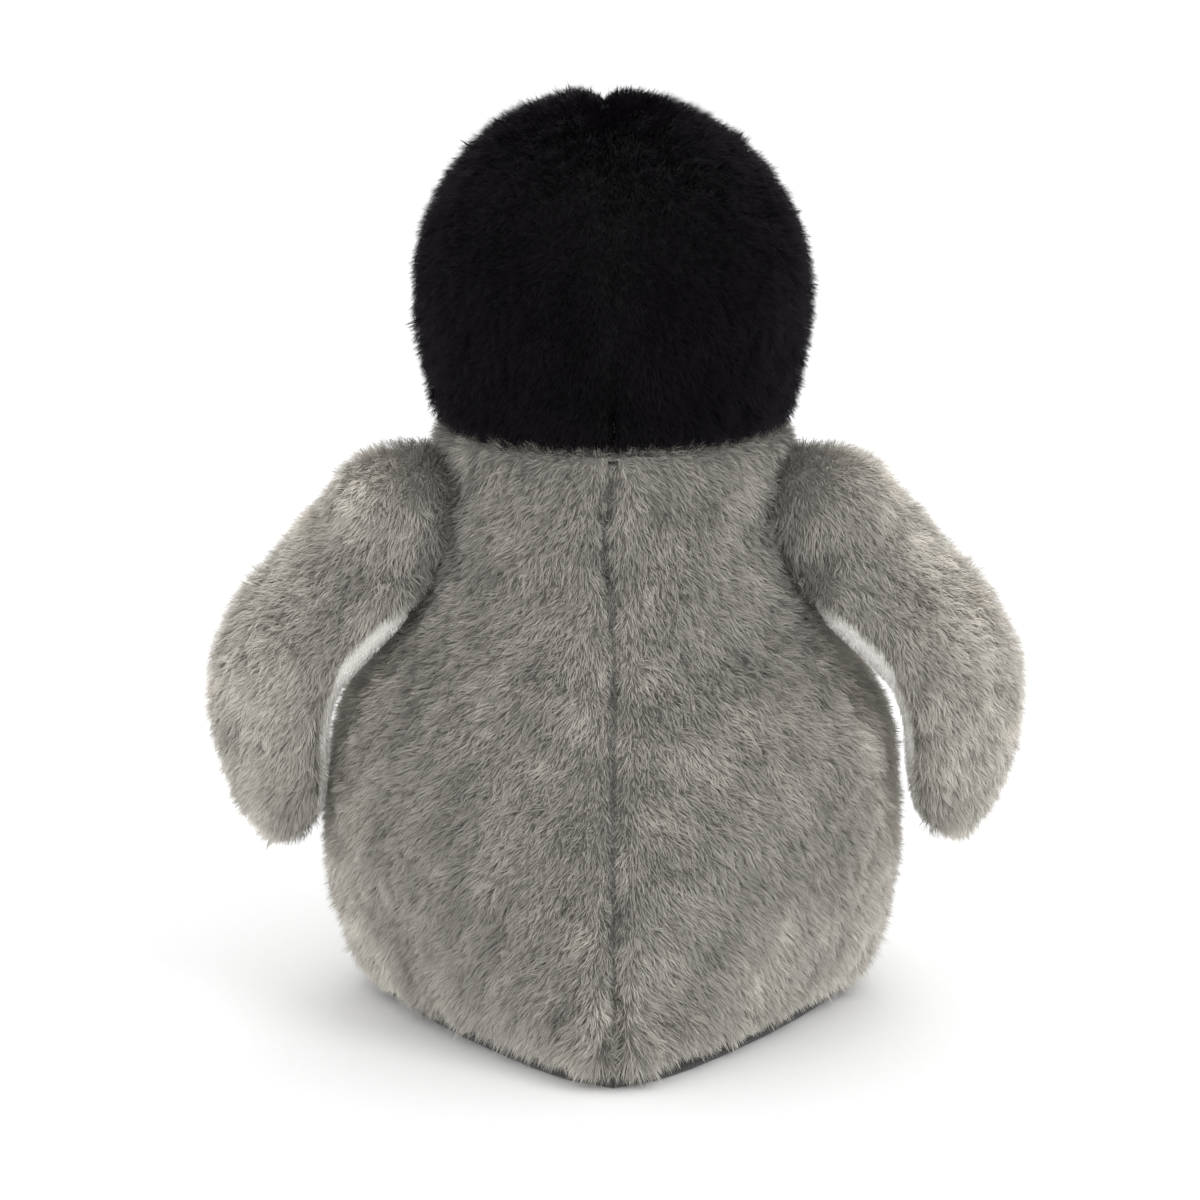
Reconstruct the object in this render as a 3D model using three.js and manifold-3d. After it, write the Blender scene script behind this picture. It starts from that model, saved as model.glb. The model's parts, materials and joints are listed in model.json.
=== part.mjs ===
// A plush penguin chick that sits upright on a flat base.
//
// Millimetres. +Z is up, the face looks along -Y and the chick's left side is at +X. The origin is
// on the flat underside of the base panel. Plush panels are sewn over stuffing: every panel is a
// solid as thick as its cloth and pile together. The head turns on the neck seam, each flipper
// lifts about a round shoulder, and each foot flaps about its heel.
import * as THREE from "three";
import { LoftGeometry } from "three/addons/geometries/LoftGeometry.js";
import { mergeVertices } from "three/addons/utils/BufferGeometryUtils.js";
import Module from "manifold-3d";

const wasm = await Module();
wasm.setup();

// ---- Driving dimensions ----

const HEIGHT = 240;
const NECK_Z = 156;
const NECK_RADIUS = 46.5;
const HEAD_RADIUS = 51;
const HEAD_CENTRE_Z = HEIGHT - HEAD_RADIUS;
const FACE_FULLNESS = 1.04;
// The head's side profile: a short straight collar, then an easy curve out to the widest place.
const COLLAR_HEIGHT = 2;
const NECK_CURVE = { out: 0.6, up: 10 };
const HEAD_CURVE_DROP = 16;

const SKIN = 5;
const SEAM_GAP = 0.4;
const FILL_GAP = 0.9;
const HARD_GAP = 0.4;
const NECK_GAP = 0.5;

const BASE_THICKNESS = 4;
const BASE_INSET = 1;
const BELLY_SEAM_Y = -18;
// A tail corner is drawn in further than a round back, so the cloth keeps its thickness there.
const TAIL_INSET_SHARE = 0.5;
// How far an inner space runs past the ends of the panels round it.
const OVERRUN = { below: 1, above: 4, head: 6, blade: 6 };

// Height, half width, y of the widest place, reach behind it, reach before it, squareness of the
// back: 2 is an ellipse, and near 1 the two back panels run almost straight to the tail.
const BODY_STATIONS = [
  [0, 63, -11, 86, 45, 1.24],
  [5, 67.5, -11, 87.5, 49, 1.24],
  [15, 72.5, -9, 83.5, 57, 1.28],
  [30, 75.8, -7, 78, 63, 1.4],
  [45, 76.3, -5, 73, 66, 1.55],
  [60, 75.4, -3, 66, 66, 1.7],
  [75, 72.4, -2, 60, 64, 1.82],
  [85, 68, -1, 56.5, 61.5, 1.9],
  [97, 60.8, 0, 53, 58.5, 1.96],
  [110, 53, 0, 50, 54.5, 2],
  [126, 47.8, 0, 47.8, 50.5, 2],
  [142, 46.2, 0, 46.7, 47.6, 2],
  [NECK_Z, NECK_RADIUS, 0, NECK_RADIUS, NECK_RADIUS, 2],
];

const SHOULDER = new THREE.Vector3(54, 13, 132.5);
const SHOULDER_RADII = [19.5, 15, 19.5];
const SHOULDER_PLAY = 0.5;
const FLIPPER_SKIN = 4.5;
const FLIPPER_TILT = THREE.MathUtils.degToRad(45);
const FLIPPER_LINE = [
  [54, 13, 132.5],
  [60, 12, 126.5],
  [73, 10, 112],
  [84, 8, 100],
  [89.3, 6, 86],
  [89, 4, 69],
  [87.5, 3, 56],
  [86, 2, 44],
];
const FLIPPER_WIDTH = 48.5;
const FLIPPER_THICKNESS = 26;
const FLIPPER_NARROWING = { share: 0.16, from: 0.45, to: 0.85 };
const FLIPPER_ROOT = { share: 0.2, to: 0.2 };
const FLIPPER_TIP = { from: 0.7, roundness: 2.3, thinning: 0.9, inset: 1.6 };
// Shares of the way along the flipper where its sections stand, before and in the round tip.
const BLADE_SHARES = [0.06, 0.18, 0.3, 0.43, 0.56, 0.67, 0.77, 0.85];
const TIP_SHARES = [0.42, 0.76, 0.97];
const SEAM_SHARES = [-0.22, 0.02, 0.13, 0.24, 0.36, 0.5, 0.62, 0.72, 0.9, 1.08];
const SIDE_REACH = 30;
const SIDE_DEPTH = 22;

const HEEL = new THREE.Vector3(30, -59, 0);
const HEEL_HINGE_Z = 4.4;
const FOOT_SPLAY = THREE.MathUtils.degToRad(10);
const FOOT_LIFTS = [0, 9, 18, 27, 36].map(THREE.MathUtils.degToRad);
const FOOT_CLEARANCE = 0.4;
const FOOT_ROOM_Z = 60;
const FOOT_SKIN = 3;
const SOLE_THICKNESS = 3.2;
const FOOT_ROUNDNESS = 0.8;
const HEEL_INSET = 3;
// Distance forward of the heel hinge, half width, height.
const FOOT_STATIONS = [
  [-6, 12, 8],
  [0, 12.4, 9.4],
  [10, 14, 11.4],
  [20, 16.8, 13.6],
  [30, 18, 13.8],
  [37, 15.6, 11],
  [40.6, 11, 6.6],
  [42, 7, 2],
];

const EYE_X = 19;
const EYE_Z = 193;
const EYE_RADIUS = 6;
const EYE_DOME = 4.6;
const SHANK_RADIUS = 1.5;
const SHANK_LENGTH = 11;
const WASHER_RADIUS = 6.5;
const WASHER_DEPTH = 7;
const WASHER_THICKNESS = 1.5;

const MASK_RADIUS = 26;
const MASK_X = 17;
const MASK_Z = 187;
const MASK_THROAT = 30;
const MASK_BACK_Y = -10;

const BEAK_Y = -49.5;
const BEAK_Z = 180;
const BEAK_WALL = 1.6;
const UPPER_BEAK = [9, 18, 7.5];
const LOWER_BEAK = [8, 15, 5.6];

const POUCH = { y: 2, z: 19, radii: [40, 38, 13.5], mouth: 30 };

const STITCH_LOW_Z = 123;
const STITCH_HIGH_Z = 141;
const STITCH_PITCH = 7;
const STITCH_SWING = 0.6;
const STITCH_ROOM = { half: 1.6, depth: 2.6, margin: 1.5 };
const THREAD_RADIUS = 0.4;
const THREAD_DEPTH = 1;

const AROUND = 36;
const AROUND_INSIDE = 20;
const BODY_LEVELS = 13;
const BODY_LEVELS_INSIDE = 8;
const HEAD_ROWS = 5;
const HEAD_ROWS_INSIDE = 3;
const FAR = 400;

// ---- Finishes ----

const GREY_PLUSH = { color: 0x7d7a75, roughness: 0.95, metalness: 0 };
const PALE_PLUSH = { color: 0xb9b5ad, roughness: 0.95, metalness: 0 };
const BLACK_PLUSH = { color: 0x121015, roughness: 0.9, metalness: 0 };
const WHITE_PLUSH = { color: 0xe6e3de, roughness: 0.95, metalness: 0 };
const DARK_CLOTH = { color: 0x35332f, roughness: 0.85, metalness: 0 };
const STUFFING = { color: 0xf2f1ec, roughness: 1, metalness: 0 };
const GLOSSY_PLASTIC = { color: 0x0b0907, roughness: 0.12, metalness: 0 };
const CLEAR_PLASTIC = { color: 0xd8d8d4, roughness: 0.45, metalness: 0 };
const POUCH_CLOTH = { color: 0xcfc9bb, roughness: 0.9, metalness: 0 };
const GREY_THREAD = { color: 0x5c5a56, roughness: 0.8, metalness: 0 };

// ---- Solids ----

function solidOf(geometry) {
  const bare = geometry.index ? geometry.toNonIndexed() : geometry.clone();
  bare.deleteAttribute("normal");
  bare.deleteAttribute("uv");
  const merged = mergeVertices(bare, 1e-4);
  const corners = merged.index.array;
  const kept = [];
  for (let i = 0; i < corners.length; i += 3) {
    const [a, b, c] = [corners[i], corners[i + 1], corners[i + 2]];
    if (a !== b && b !== c && c !== a) kept.push(a, b, c);
  }
  const mesh = new wasm.Mesh({
    numProp: 3,
    vertProperties: new Float32Array(merged.attributes.position.array),
    triVerts: new Uint32Array(kept),
  });
  return new wasm.Manifold(mesh);
}

function geometryOf(body) {
  const mesh = body.getMesh();
  const geometry = new THREE.BufferGeometry();
  geometry.setAttribute("position", new THREE.BufferAttribute(mesh.vertProperties, 3));
  geometry.setIndex(new THREE.BufferAttribute(mesh.triVerts, 1));
  geometry.computeVertexNormals();
  return geometry;
}

// A block from one corner to the opposite one.
function block(low, high) {
  const size = high.map((value, i) => value - low[i]);
  const geometry = new THREE.BoxGeometry(...size);
  geometry.translate(low[0] + size[0] / 2, low[1] + size[1] / 2, low[2] + size[2] / 2);
  return solidOf(geometry);
}

const above = (z) => block([-FAR, -FAR, z], [FAR, FAR, FAR]);
const below = (z) => block([-FAR, -FAR, -FAR], [FAR, FAR, z]);
const leftOf = (x) => block([x, -FAR, -FAR], [FAR, FAR, FAR]);

function ball(centre, radii, columns = 16, rows = 8) {
  const geometry = new THREE.SphereGeometry(1, columns, rows);
  geometry.rotateX(Math.PI / 2);
  geometry.scale(...radii);
  geometry.translate(...centre);
  return solidOf(geometry);
}

// Columns of a table as smooth functions of its first column.
function smoothTable(rows) {
  const columns = rows[0].length - 1;
  const places = new Float32Array(rows.map((row) => row[0]));
  const values = new Float32Array(rows.flatMap((row) => row.slice(1)));
  const interpolant = new THREE.CubicInterpolant(places, values, columns);
  return (place) => Array.from(interpolant.evaluate(place));
}

const signedPower = (value, power) => Math.sign(value) * Math.abs(value) ** power;

// ---- Body ----

const bodyAt = smoothTable(BODY_STATIONS);

// The level outline of the body at a height, drawn in by an inset.
function bodySection(z, inset, around) {
  const [halfWidth, middleY, back, front, squareness] = bodyAt(z);
  const tailInset = inset * (1 + TAIL_INSET_SHARE * (2 - squareness));
  const points = [];
  for (let i = 0; i < around; i++) {
    const angle = (2 * Math.PI * i) / around;
    const behind = Math.sin(angle) > 0;
    const power = behind ? 2 / squareness : 1;
    const reach = behind ? back - tailInset : front - inset;
    const x = (halfWidth - inset) * signedPower(Math.cos(angle), power);
    const y = middleY + reach * signedPower(Math.sin(angle), power);
    points.push(new THREE.Vector3(x, y, z));
  }
  return points;
}

function bodyForm(lowZ, highZ, inset, levels = inset > 0 ? BODY_LEVELS_INSIDE : BODY_LEVELS) {
  const around = inset > BASE_INSET ? AROUND_INSIDE : AROUND;
  const sections = [];
  for (let i = 0; i <= levels; i++) {
    sections.push(bodySection(THREE.MathUtils.lerp(lowZ, highZ, i / levels), inset, around));
  }
  return solidOf(new LoftGeometry(sections, { capStart: true, capEnd: true }));
}

const SKIN_LOW_Z = BASE_THICKNESS + HARD_GAP;
const BODY_TOP_Z = NECK_Z - NECK_GAP / 2;
const HEAD_LOW_Z = NECK_Z + NECK_GAP / 2;

function tailY(z) {
  const [, middleY, back] = bodyAt(z);
  return middleY + back;
}

// The shoulder is round about its hinge, which runs along Y, so it turns in place.
const shoulderRoom = (side, play) =>
  ball(
    [side * SHOULDER.x, SHOULDER.y, SHOULDER.z],
    SHOULDER_RADII.map((radius) => radius + play),
    20,
  );

// The seam is drawn open where it was closed by hand, and the thread lies in the opening.
function stitchChannel() {
  const { half, depth, margin } = STITCH_ROOM;
  const middle = (STITCH_LOW_Z + STITCH_HIGH_Z) / 2;
  return block(
    [-half, tailY(middle) - depth, STITCH_LOW_Z - margin],
    [half, FAR, STITCH_HIGH_Z + margin],
  );
}

// The space inside the body, open at both ends, drawn in by an inset.
const bodyInside = (inset) => bodyForm(-OVERRUN.below, NECK_Z + OVERRUN.above, inset);

function bodySkin() {
  return bodyForm(SKIN_LOW_Z, BODY_TOP_Z, 0)
    .subtract(bodyInside(SKIN))
    .subtract(shoulderRoom(1, SHOULDER_PLAY))
    .subtract(shoulderRoom(-1, SHOULDER_PLAY))
    .subtract(stitchChannel());
}

function backPanel(skin) {
  const half = block([SEAM_GAP / 2, BELLY_SEAM_Y + SEAM_GAP / 2, -FAR], [FAR, FAR, FAR]);
  return skin.intersect(half);
}

function bellyPanel(skin) {
  return skin.intersect(block([-FAR, -FAR, -FAR], [FAR, BELLY_SEAM_Y - SEAM_GAP / 2, FAR]));
}

function basePanel() {
  return bodyForm(0, BASE_THICKNESS, BASE_INSET, 2);
}

function pouch(play) {
  const radii = POUCH.radii.map((radius) => radius + play);
  return ball([0, POUCH.y, POUCH.z], radii).intersect(above(SKIN_LOW_Z + HARD_GAP));
}

function bodyStuffing() {
  const { y, z, mouth } = POUCH;
  const pouchWay = block([-mouth, y - mouth, 0], [mouth, y + mouth, z]);
  return bodyInside(SKIN + FILL_GAP)
    .intersect(above(SKIN_LOW_Z))
    .intersect(below(BODY_TOP_Z))
    .subtract(pouch(FILL_GAP))
    .subtract(pouchWay)
    .subtract(shoulderRoom(1, SHOULDER_PLAY + FILL_GAP))
    .subtract(shoulderRoom(-1, SHOULDER_PLAY + FILL_GAP));
}

function closingThread() {
  const points = [];
  const turns = Math.round((STITCH_HIGH_Z - STITCH_LOW_Z) / (STITCH_PITCH / 2));
  for (let i = 0; i <= turns; i++) {
    const z = THREE.MathUtils.lerp(STITCH_LOW_Z, STITCH_HIGH_Z, i / turns);
    const x = i % 2 ? STITCH_SWING : -STITCH_SWING;
    points.push(new THREE.Vector3(x, tailY(z) - THREAD_DEPTH, z));
  }
  const section = new THREE.Shape().absarc(0, 0, THREAD_RADIUS, 0, 2 * Math.PI);
  const geometry = new THREE.ExtrudeGeometry(section, {
    extrudePath: new THREE.CatmullRomCurve3(points),
    steps: 32,
    curveSegments: 3,
  });
  return solidOf(geometry);
}

// ---- Head ----

function headForm(lowZ, inset) {
  const radius = HEAD_RADIUS - inset;
  const neck = NECK_RADIUS - inset;
  const outline = new THREE.Path();
  outline.moveTo(neck, lowZ);
  outline.lineTo(neck, NECK_Z + COLLAR_HEIGHT);
  outline.bezierCurveTo(
    neck + NECK_CURVE.out, NECK_Z + NECK_CURVE.up,
    radius, HEAD_CENTRE_Z - HEAD_CURVE_DROP,
    radius, HEAD_CENTRE_Z,
  );
  outline.absarc(0, HEAD_CENTRE_Z, radius, 0, Math.PI / 2);
  const rows = inset > 0 ? HEAD_ROWS_INSIDE : HEAD_ROWS;
  const profile = [new THREE.Vector2(0, lowZ), ...outline.getPoints(rows)];
  profile[profile.length - 1].x = 0;
  const geometry = new THREE.LatheGeometry(profile, inset > 0 ? AROUND_INSIDE : AROUND);
  geometry.rotateX(Math.PI / 2);
  const places = geometry.attributes.position;
  for (let i = 0; i < places.count; i++) {
    const rise = THREE.MathUtils.smoothstep(places.getZ(i), NECK_Z, HEAD_CENTRE_Z);
    const fullness = THREE.MathUtils.lerp(1, FACE_FULLNESS, rise);
    if (places.getY(i) < 0) places.setY(i, places.getY(i) * fullness);
  }
  return solidOf(geometry);
}

// The white face: two round lobes about the eyes, running down to the throat.
function maskRegion(shrink) {
  let region = block(
    [-MASK_THROAT + shrink, -FAR, 0],
    [MASK_THROAT - shrink, MASK_BACK_Y - shrink, MASK_Z],
  );
  for (const side of [-1, 1]) {
    const lobe = new THREE.CylinderGeometry(MASK_RADIUS - shrink, MASK_RADIUS - shrink, FAR, 24);
    lobe.translate(side * MASK_X, MASK_BACK_Y - shrink - FAR / 2, MASK_Z);
    region = region.add(solidOf(lobe));
  }
  return region;
}

function eyePlace() {
  const level = Math.sqrt(HEAD_RADIUS ** 2 - (EYE_Z - HEAD_CENTRE_Z) ** 2);
  const y = -FACE_FULLNESS * Math.sqrt(level ** 2 - EYE_X ** 2);
  const position = new THREE.Vector3(EYE_X, y, EYE_Z);
  const outward = new THREE.Vector3(EYE_X, y / FACE_FULLNESS ** 2, EYE_Z - HEAD_CENTRE_Z);
  outward.normalize();
  position.addScaledVector(outward, HARD_GAP);
  const turn = new THREE.Quaternion().setFromUnitVectors(new THREE.Vector3(0, 1, 0), outward);
  return new THREE.Matrix4().compose(position, turn, new THREE.Vector3(1, 1, 1));
}

const EYE_PLACE = eyePlace();

// A turned piece on the eye's own axis, which points out of the head.
function turnedAtEye(profile, side = 1) {
  const geometry = new THREE.LatheGeometry(profile, 16);
  geometry.applyMatrix4(EYE_PLACE);
  const piece = solidOf(geometry);
  return side > 0 ? piece : solidOf(mirrored(geometry));
}

function mirrored(geometry) {
  const copy = geometry.toNonIndexed();
  copy.scale(-1, 1, 1);
  const places = copy.attributes.position;
  const corner = new THREE.Vector3();
  for (let i = 0; i < places.count; i += 3) {
    corner.fromBufferAttribute(places, i);
    const [x, y, z] = [places.getX(i + 1), places.getY(i + 1), places.getZ(i + 1)];
    places.setXYZ(i, x, y, z);
    places.setXYZ(i + 1, corner.x, corner.y, corner.z);
  }
  return copy;
}

const at = (radius, height) => new THREE.Vector2(radius, height);

function eyeProfile() {
  const profile = [at(0, -SHANK_LENGTH), at(SHANK_RADIUS, -SHANK_LENGTH), at(SHANK_RADIUS, 0)];
  const rows = 6;
  for (let i = 0; i <= rows; i++) {
    const angle = (i / rows) * (Math.PI / 2);
    profile.push(at(EYE_RADIUS * Math.cos(angle), EYE_DOME * Math.sin(angle)));
  }
  profile[profile.length - 1].x = 0;
  return profile;
}

function washerProfile() {
  const [inner, low, high] = [
    SHANK_RADIUS + HARD_GAP,
    -WASHER_DEPTH - WASHER_THICKNESS,
    -WASHER_DEPTH,
  ];
  return [
    at(inner, low),
    at(WASHER_RADIUS, low),
    at(WASHER_RADIUS, high),
    at(inner, high),
    at(inner, low),
  ];
}

const rod = (radius, low, high) => [at(0, low), at(radius, low), at(radius, high), at(0, high)];

function headSkin() {
  return headForm(HEAD_LOW_Z, 0).subtract(headForm(NECK_Z - OVERRUN.head, SKIN));
}

function capPanel(skin) {
  return skin.subtract(maskRegion(0)).intersect(leftOf(SEAM_GAP / 2));
}

function cheekPanel(skin) {
  const shankWay = turnedAtEye(rod(SHANK_RADIUS + HARD_GAP, -SHANK_LENGTH, 2));
  return skin.intersect(maskRegion(SEAM_GAP)).intersect(leftOf(SEAM_GAP / 2)).subtract(shankWay);
}

function headStuffing() {
  const inside = headForm(NECK_Z - OVERRUN.head, SKIN + FILL_GAP);
  let filling = inside.intersect(above(HEAD_LOW_Z));
  for (const side of [-1, 1]) {
    const low = -WASHER_DEPTH - WASHER_THICKNESS - FILL_GAP;
    filling = filling.subtract(turnedAtEye(rod(WASHER_RADIUS + FILL_GAP, low, 2), side));
    filling = filling.subtract(
      turnedAtEye(rod(SHANK_RADIUS + FILL_GAP, -SHANK_LENGTH - FILL_GAP, 2), side),
    );
  }
  return filling;
}

function beakForm(radii, inset) {
  const reduced = radii.map((radius) => radius - inset);
  return ball([0, BEAK_Y, BEAK_Z], reduced).subtract(headForm(NECK_Z, -HARD_GAP));
}

function beakHalves() {
  const core = beakForm(LOWER_BEAK, BEAK_WALL);
  const half = SEAM_GAP / 2;
  return {
    upper: beakForm(UPPER_BEAK, 0).subtract(core).intersect(above(BEAK_Z + half)),
    lower: beakForm(LOWER_BEAK, 0).subtract(core).intersect(below(BEAK_Z - half)),
    filling: beakForm(LOWER_BEAK, BEAK_WALL + HARD_GAP),
  };
}

// ---- Flippers ----

const flipperLine = new THREE.CatmullRomCurve3(
  FLIPPER_LINE.map((point) => new THREE.Vector3(...point)),
);
const flipperLength = flipperLine.getLength();

// Place, broad direction and outward direction of the flipper a share of the way to its tip.
function flipperFrame(share) {
  const inside = THREE.MathUtils.clamp(share, 0, 1);
  const place = flipperLine.getPointAt(inside);
  const along = flipperLine.getTangentAt(inside);
  place.addScaledVector(along, (share - inside) * flipperLength);
  const inward = new THREE.Vector3(along.z, 0, -along.x).normalize();
  const backward = new THREE.Vector3().crossVectors(inward, along).normalize();
  if (backward.y < 0) backward.negate();
  const broad = inward.clone().multiplyScalar(Math.cos(FLIPPER_TILT));
  broad.addScaledVector(backward, Math.sin(FLIPPER_TILT));
  const outward = inward.clone().multiplyScalar(-Math.sin(FLIPPER_TILT));
  outward.addScaledVector(backward, Math.cos(FLIPPER_TILT));
  return { place, broad, outward };
}

// Half width and half thickness: full in the upper part, then closing in a round tip.
function flipperHalves(share, inset) {
  const { smoothstep } = THREE.MathUtils;
  const { share: narrower, from, to } = FLIPPER_NARROWING;
  const narrowing = 1 - narrower * smoothstep(share, from, to);
  const root = FLIPPER_ROOT.share;
  const widening = 1 - root + root * smoothstep(share, 0, FLIPPER_ROOT.to);
  const tipShare = 1 - inset / flipperLength;
  const tip = Math.max(0, (share - FLIPPER_TIP.from) / (tipShare - FLIPPER_TIP.from));
  const closing = Math.sqrt(Math.max(0, 1 - tip ** FLIPPER_TIP.roundness));
  const drawnIn = inset * Math.min(1, closing * FLIPPER_TIP.inset);
  return [
    (FLIPPER_WIDTH / 2) * widening * narrowing * closing - drawnIn,
    (FLIPPER_THICKNESS / 2) * narrowing * closing ** FLIPPER_TIP.thinning - drawnIn,
  ];
}

// The blade is trimmed to lie against the body, and its round shoulder sits in the body's side.
function flipperForm(inset) {
  const count = inset > 0 ? 12 : 16;
  const lastShare = 1 - inset / flipperLength;
  const tipStart = BLADE_SHARES.at(-1);
  const tips = TIP_SHARES.map((tip) => THREE.MathUtils.lerp(tipStart, lastShare, tip));
  const shares = [...BLADE_SHARES, ...tips];
  const sections = shares.map((share) => {
    const { place, broad, outward } = flipperFrame(share);
    const [halfWidth, halfThickness] = flipperHalves(share, inset);
    const points = [];
    for (let i = 0; i < count; i++) {
      const angle = (2 * Math.PI * i) / count;
      const point = place.clone().addScaledVector(broad, halfWidth * Math.cos(angle));
      points.push(point.addScaledVector(outward, halfThickness * Math.sin(angle)));
    }
    return points;
  });
  const blade = solidOf(new LoftGeometry(sections, { capStart: true, capEnd: true }));
  const beside = bodyForm(-OVERRUN.above, NECK_Z + OVERRUN.blade, -SHOULDER_PLAY - inset);
  const besideBody = blade.subtract(beside);
  return besideBody.add(shoulderRoom(1, -inset));
}

// The side of the flipper's seam that faces out and back, or the side that faces the body.
function flipperSide(sign) {
  const [near, far] = [sign * (SEAM_GAP / 2), sign * SIDE_DEPTH];
  const sections = SEAM_SHARES.map((share) => {
    const { place, broad, outward } = flipperFrame(share);
    const corner = (across, out) =>
      place.clone().addScaledVector(broad, across).addScaledVector(outward, out);
    const ring = [
      corner(-SIDE_REACH, near),
      corner(SIDE_REACH, near),
      corner(SIDE_REACH, far),
      corner(-SIDE_REACH, far),
    ];
    return sign > 0 ? ring : ring.reverse();
  });
  return solidOf(new LoftGeometry(sections, { capStart: true, capEnd: true }));
}

// ---- Feet ----

const footAt = smoothTable(FOOT_STATIONS);

// A foot in its own frame: toes along -Y, heel hinge above its origin.
function footForm(inset) {
  const count = inset > 0 ? 12 : 18;
  const [heel, toe] = [FOOT_STATIONS[0][0], FOOT_STATIONS.at(-1)[0]];
  const levels = inset > 0 ? 7 : 12;
  const sections = [];
  for (let i = 0; i <= levels; i++) {
    const eased = 0.5 - 0.5 * Math.cos((Math.PI * i) / levels);
    const forward = THREE.MathUtils.lerp(heel + inset * HEEL_INSET, toe - inset, eased);
    const [halfWidth, height] = footAt(forward);
    const points = [];
    for (let k = 0; k < count; k++) {
      const angle = (2 * Math.PI * k) / count;
      const x = (halfWidth - inset) * signedPower(Math.cos(angle), FOOT_ROUNDNESS);
      const rise = (height / 2 - inset) * signedPower(Math.sin(angle), FOOT_ROUNDNESS);
      points.push(new THREE.Vector3(x, -forward, FOOT_CLEARANCE + height / 2 + rise));
    }
    sections.push(points);
  }
  return solidOf(new LoftGeometry(sections, { capStart: true, capEnd: true }));
}

// What a foot keeps clear of as it lifts, in the foot's own frame: the body and the ground.
function footRoom(inset) {
  const clearance = FOOT_CLEARANCE + inset;
  const body = geometryOf(bodyForm(-FOOT_ROOM_Z, FOOT_ROOM_Z, -clearance, BODY_LEVELS));
  body.translate(-HEEL.x, -HEEL.y, 0);
  body.rotateZ(-FOOT_SPLAY);
  const ground = geometryOf(below(FOOT_CLEARANCE / 2));
  const rooms = FOOT_LIFTS.flatMap((lift) =>
    [body, ground].map((shape) => {
      const turned = shape.clone();
      turned.translate(0, 0, -HEEL_HINGE_Z);
      turned.rotateX(lift);
      turned.translate(0, 0, HEEL_HINGE_Z);
      return solidOf(turned);
    }),
  );
  return rooms.reduce((all, room) => all.add(room));
}

function footPieces() {
  const soleTop = FOOT_CLEARANCE + SOLE_THICKNESS;
  const whole = footForm(0).subtract(footRoom(0));
  const core = footForm(FOOT_SKIN).subtract(footRoom(FOOT_SKIN));
  const filling = footForm(FOOT_SKIN + FILL_GAP).subtract(footRoom(FOOT_SKIN + FILL_GAP));
  return {
    top: whole.subtract(core).intersect(above(soleTop + SEAM_GAP)),
    sole: whole.intersect(below(soleTop)),
    filling: filling.intersect(above(soleTop + SEAM_GAP)),
  };
}

// ---- Assembly ----

const penguin = new THREE.Group();
const leftFoot = new THREE.Group();
leftFoot.position.copy(HEEL);
leftFoot.rotation.z = FOOT_SPLAY;
const rightHalf = new THREE.Group();
rightHalf.scale.x = -1;
const rightFoot = leftFoot.clone();
rightHalf.add(rightFoot);
penguin.add(leftFoot, rightHalf);

function place(name, body, finish, group = penguin) {
  const mesh = new THREE.Mesh(geometryOf(body), new THREE.MeshStandardMaterial(finish));
  mesh.name = name;
  group.add(mesh);
}

// The left piece, and its mirror image on the right.
function placePair(name, body, finish, groups = [penguin, rightHalf]) {
  place(`${name}_left`, body, finish, groups[0]);
  place(`${name}_right`, body, finish, groups[1]);
}

const skinOfBody = bodySkin();
placePair("body_back", backPanel(skinOfBody), GREY_PLUSH);
place("belly", bellyPanel(skinOfBody), PALE_PLUSH);
place("base_panel", basePanel(), DARK_CLOTH);
place("body_stuffing", bodyStuffing(), STUFFING);
place("pellet_pouch", pouch(0), POUCH_CLOTH);
place("closing_thread", closingThread(), GREY_THREAD);

const skinOfHead = headSkin();
placePair("head_cap", capPanel(skinOfHead), BLACK_PLUSH);
placePair("cheek", cheekPanel(skinOfHead), WHITE_PLUSH);
place("head_stuffing", headStuffing(), STUFFING);
placePair("eye", turnedAtEye(eyeProfile()), GLOSSY_PLASTIC);
placePair("eye_washer", turnedAtEye(washerProfile()), CLEAR_PLASTIC);

const beak = beakHalves();
place("beak_upper", beak.upper, BLACK_PLUSH);
place("beak_lower", beak.lower, BLACK_PLUSH);
place("beak_stuffing", beak.filling, STUFFING);

const flipperSkin = flipperForm(0).subtract(flipperForm(FLIPPER_SKIN));
placePair("flipper_outer", flipperSkin.intersect(flipperSide(1)), GREY_PLUSH);
placePair("flipper_lining", flipperSkin.intersect(flipperSide(-1)), WHITE_PLUSH);
placePair("flipper_stuffing", flipperForm(FLIPPER_SKIN + FILL_GAP), STUFFING);

const foot = footPieces();
const feet = [leftFoot, rightFoot];
placePair("foot_top", foot.top, DARK_CLOTH, feet);
placePair("foot_sole", foot.sole, DARK_CLOTH, feet);
placePair("foot_stuffing", foot.filling, STUFFING, feet);

export default penguin;
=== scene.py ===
"""Plush penguin chick: sewn and stuffed panels with a combed pile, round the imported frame.

Metres, +Z up, the face along -Y, the chick's left side at +X. Each soft form is read from the
frame as level outlines, puffed between its seams by a cloth simulation, and split into panels.
"""

import json
import math
from collections.abc import Callable
from dataclasses import dataclass

import bpy
import numpy as np
from bpy.props import FloatProperty, FloatVectorProperty, IntProperty, PointerProperty
from mathutils import Matrix, Vector
from mathutils.bvhtree import BVHTree
from mathutils.kdtree import KDTree

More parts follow.
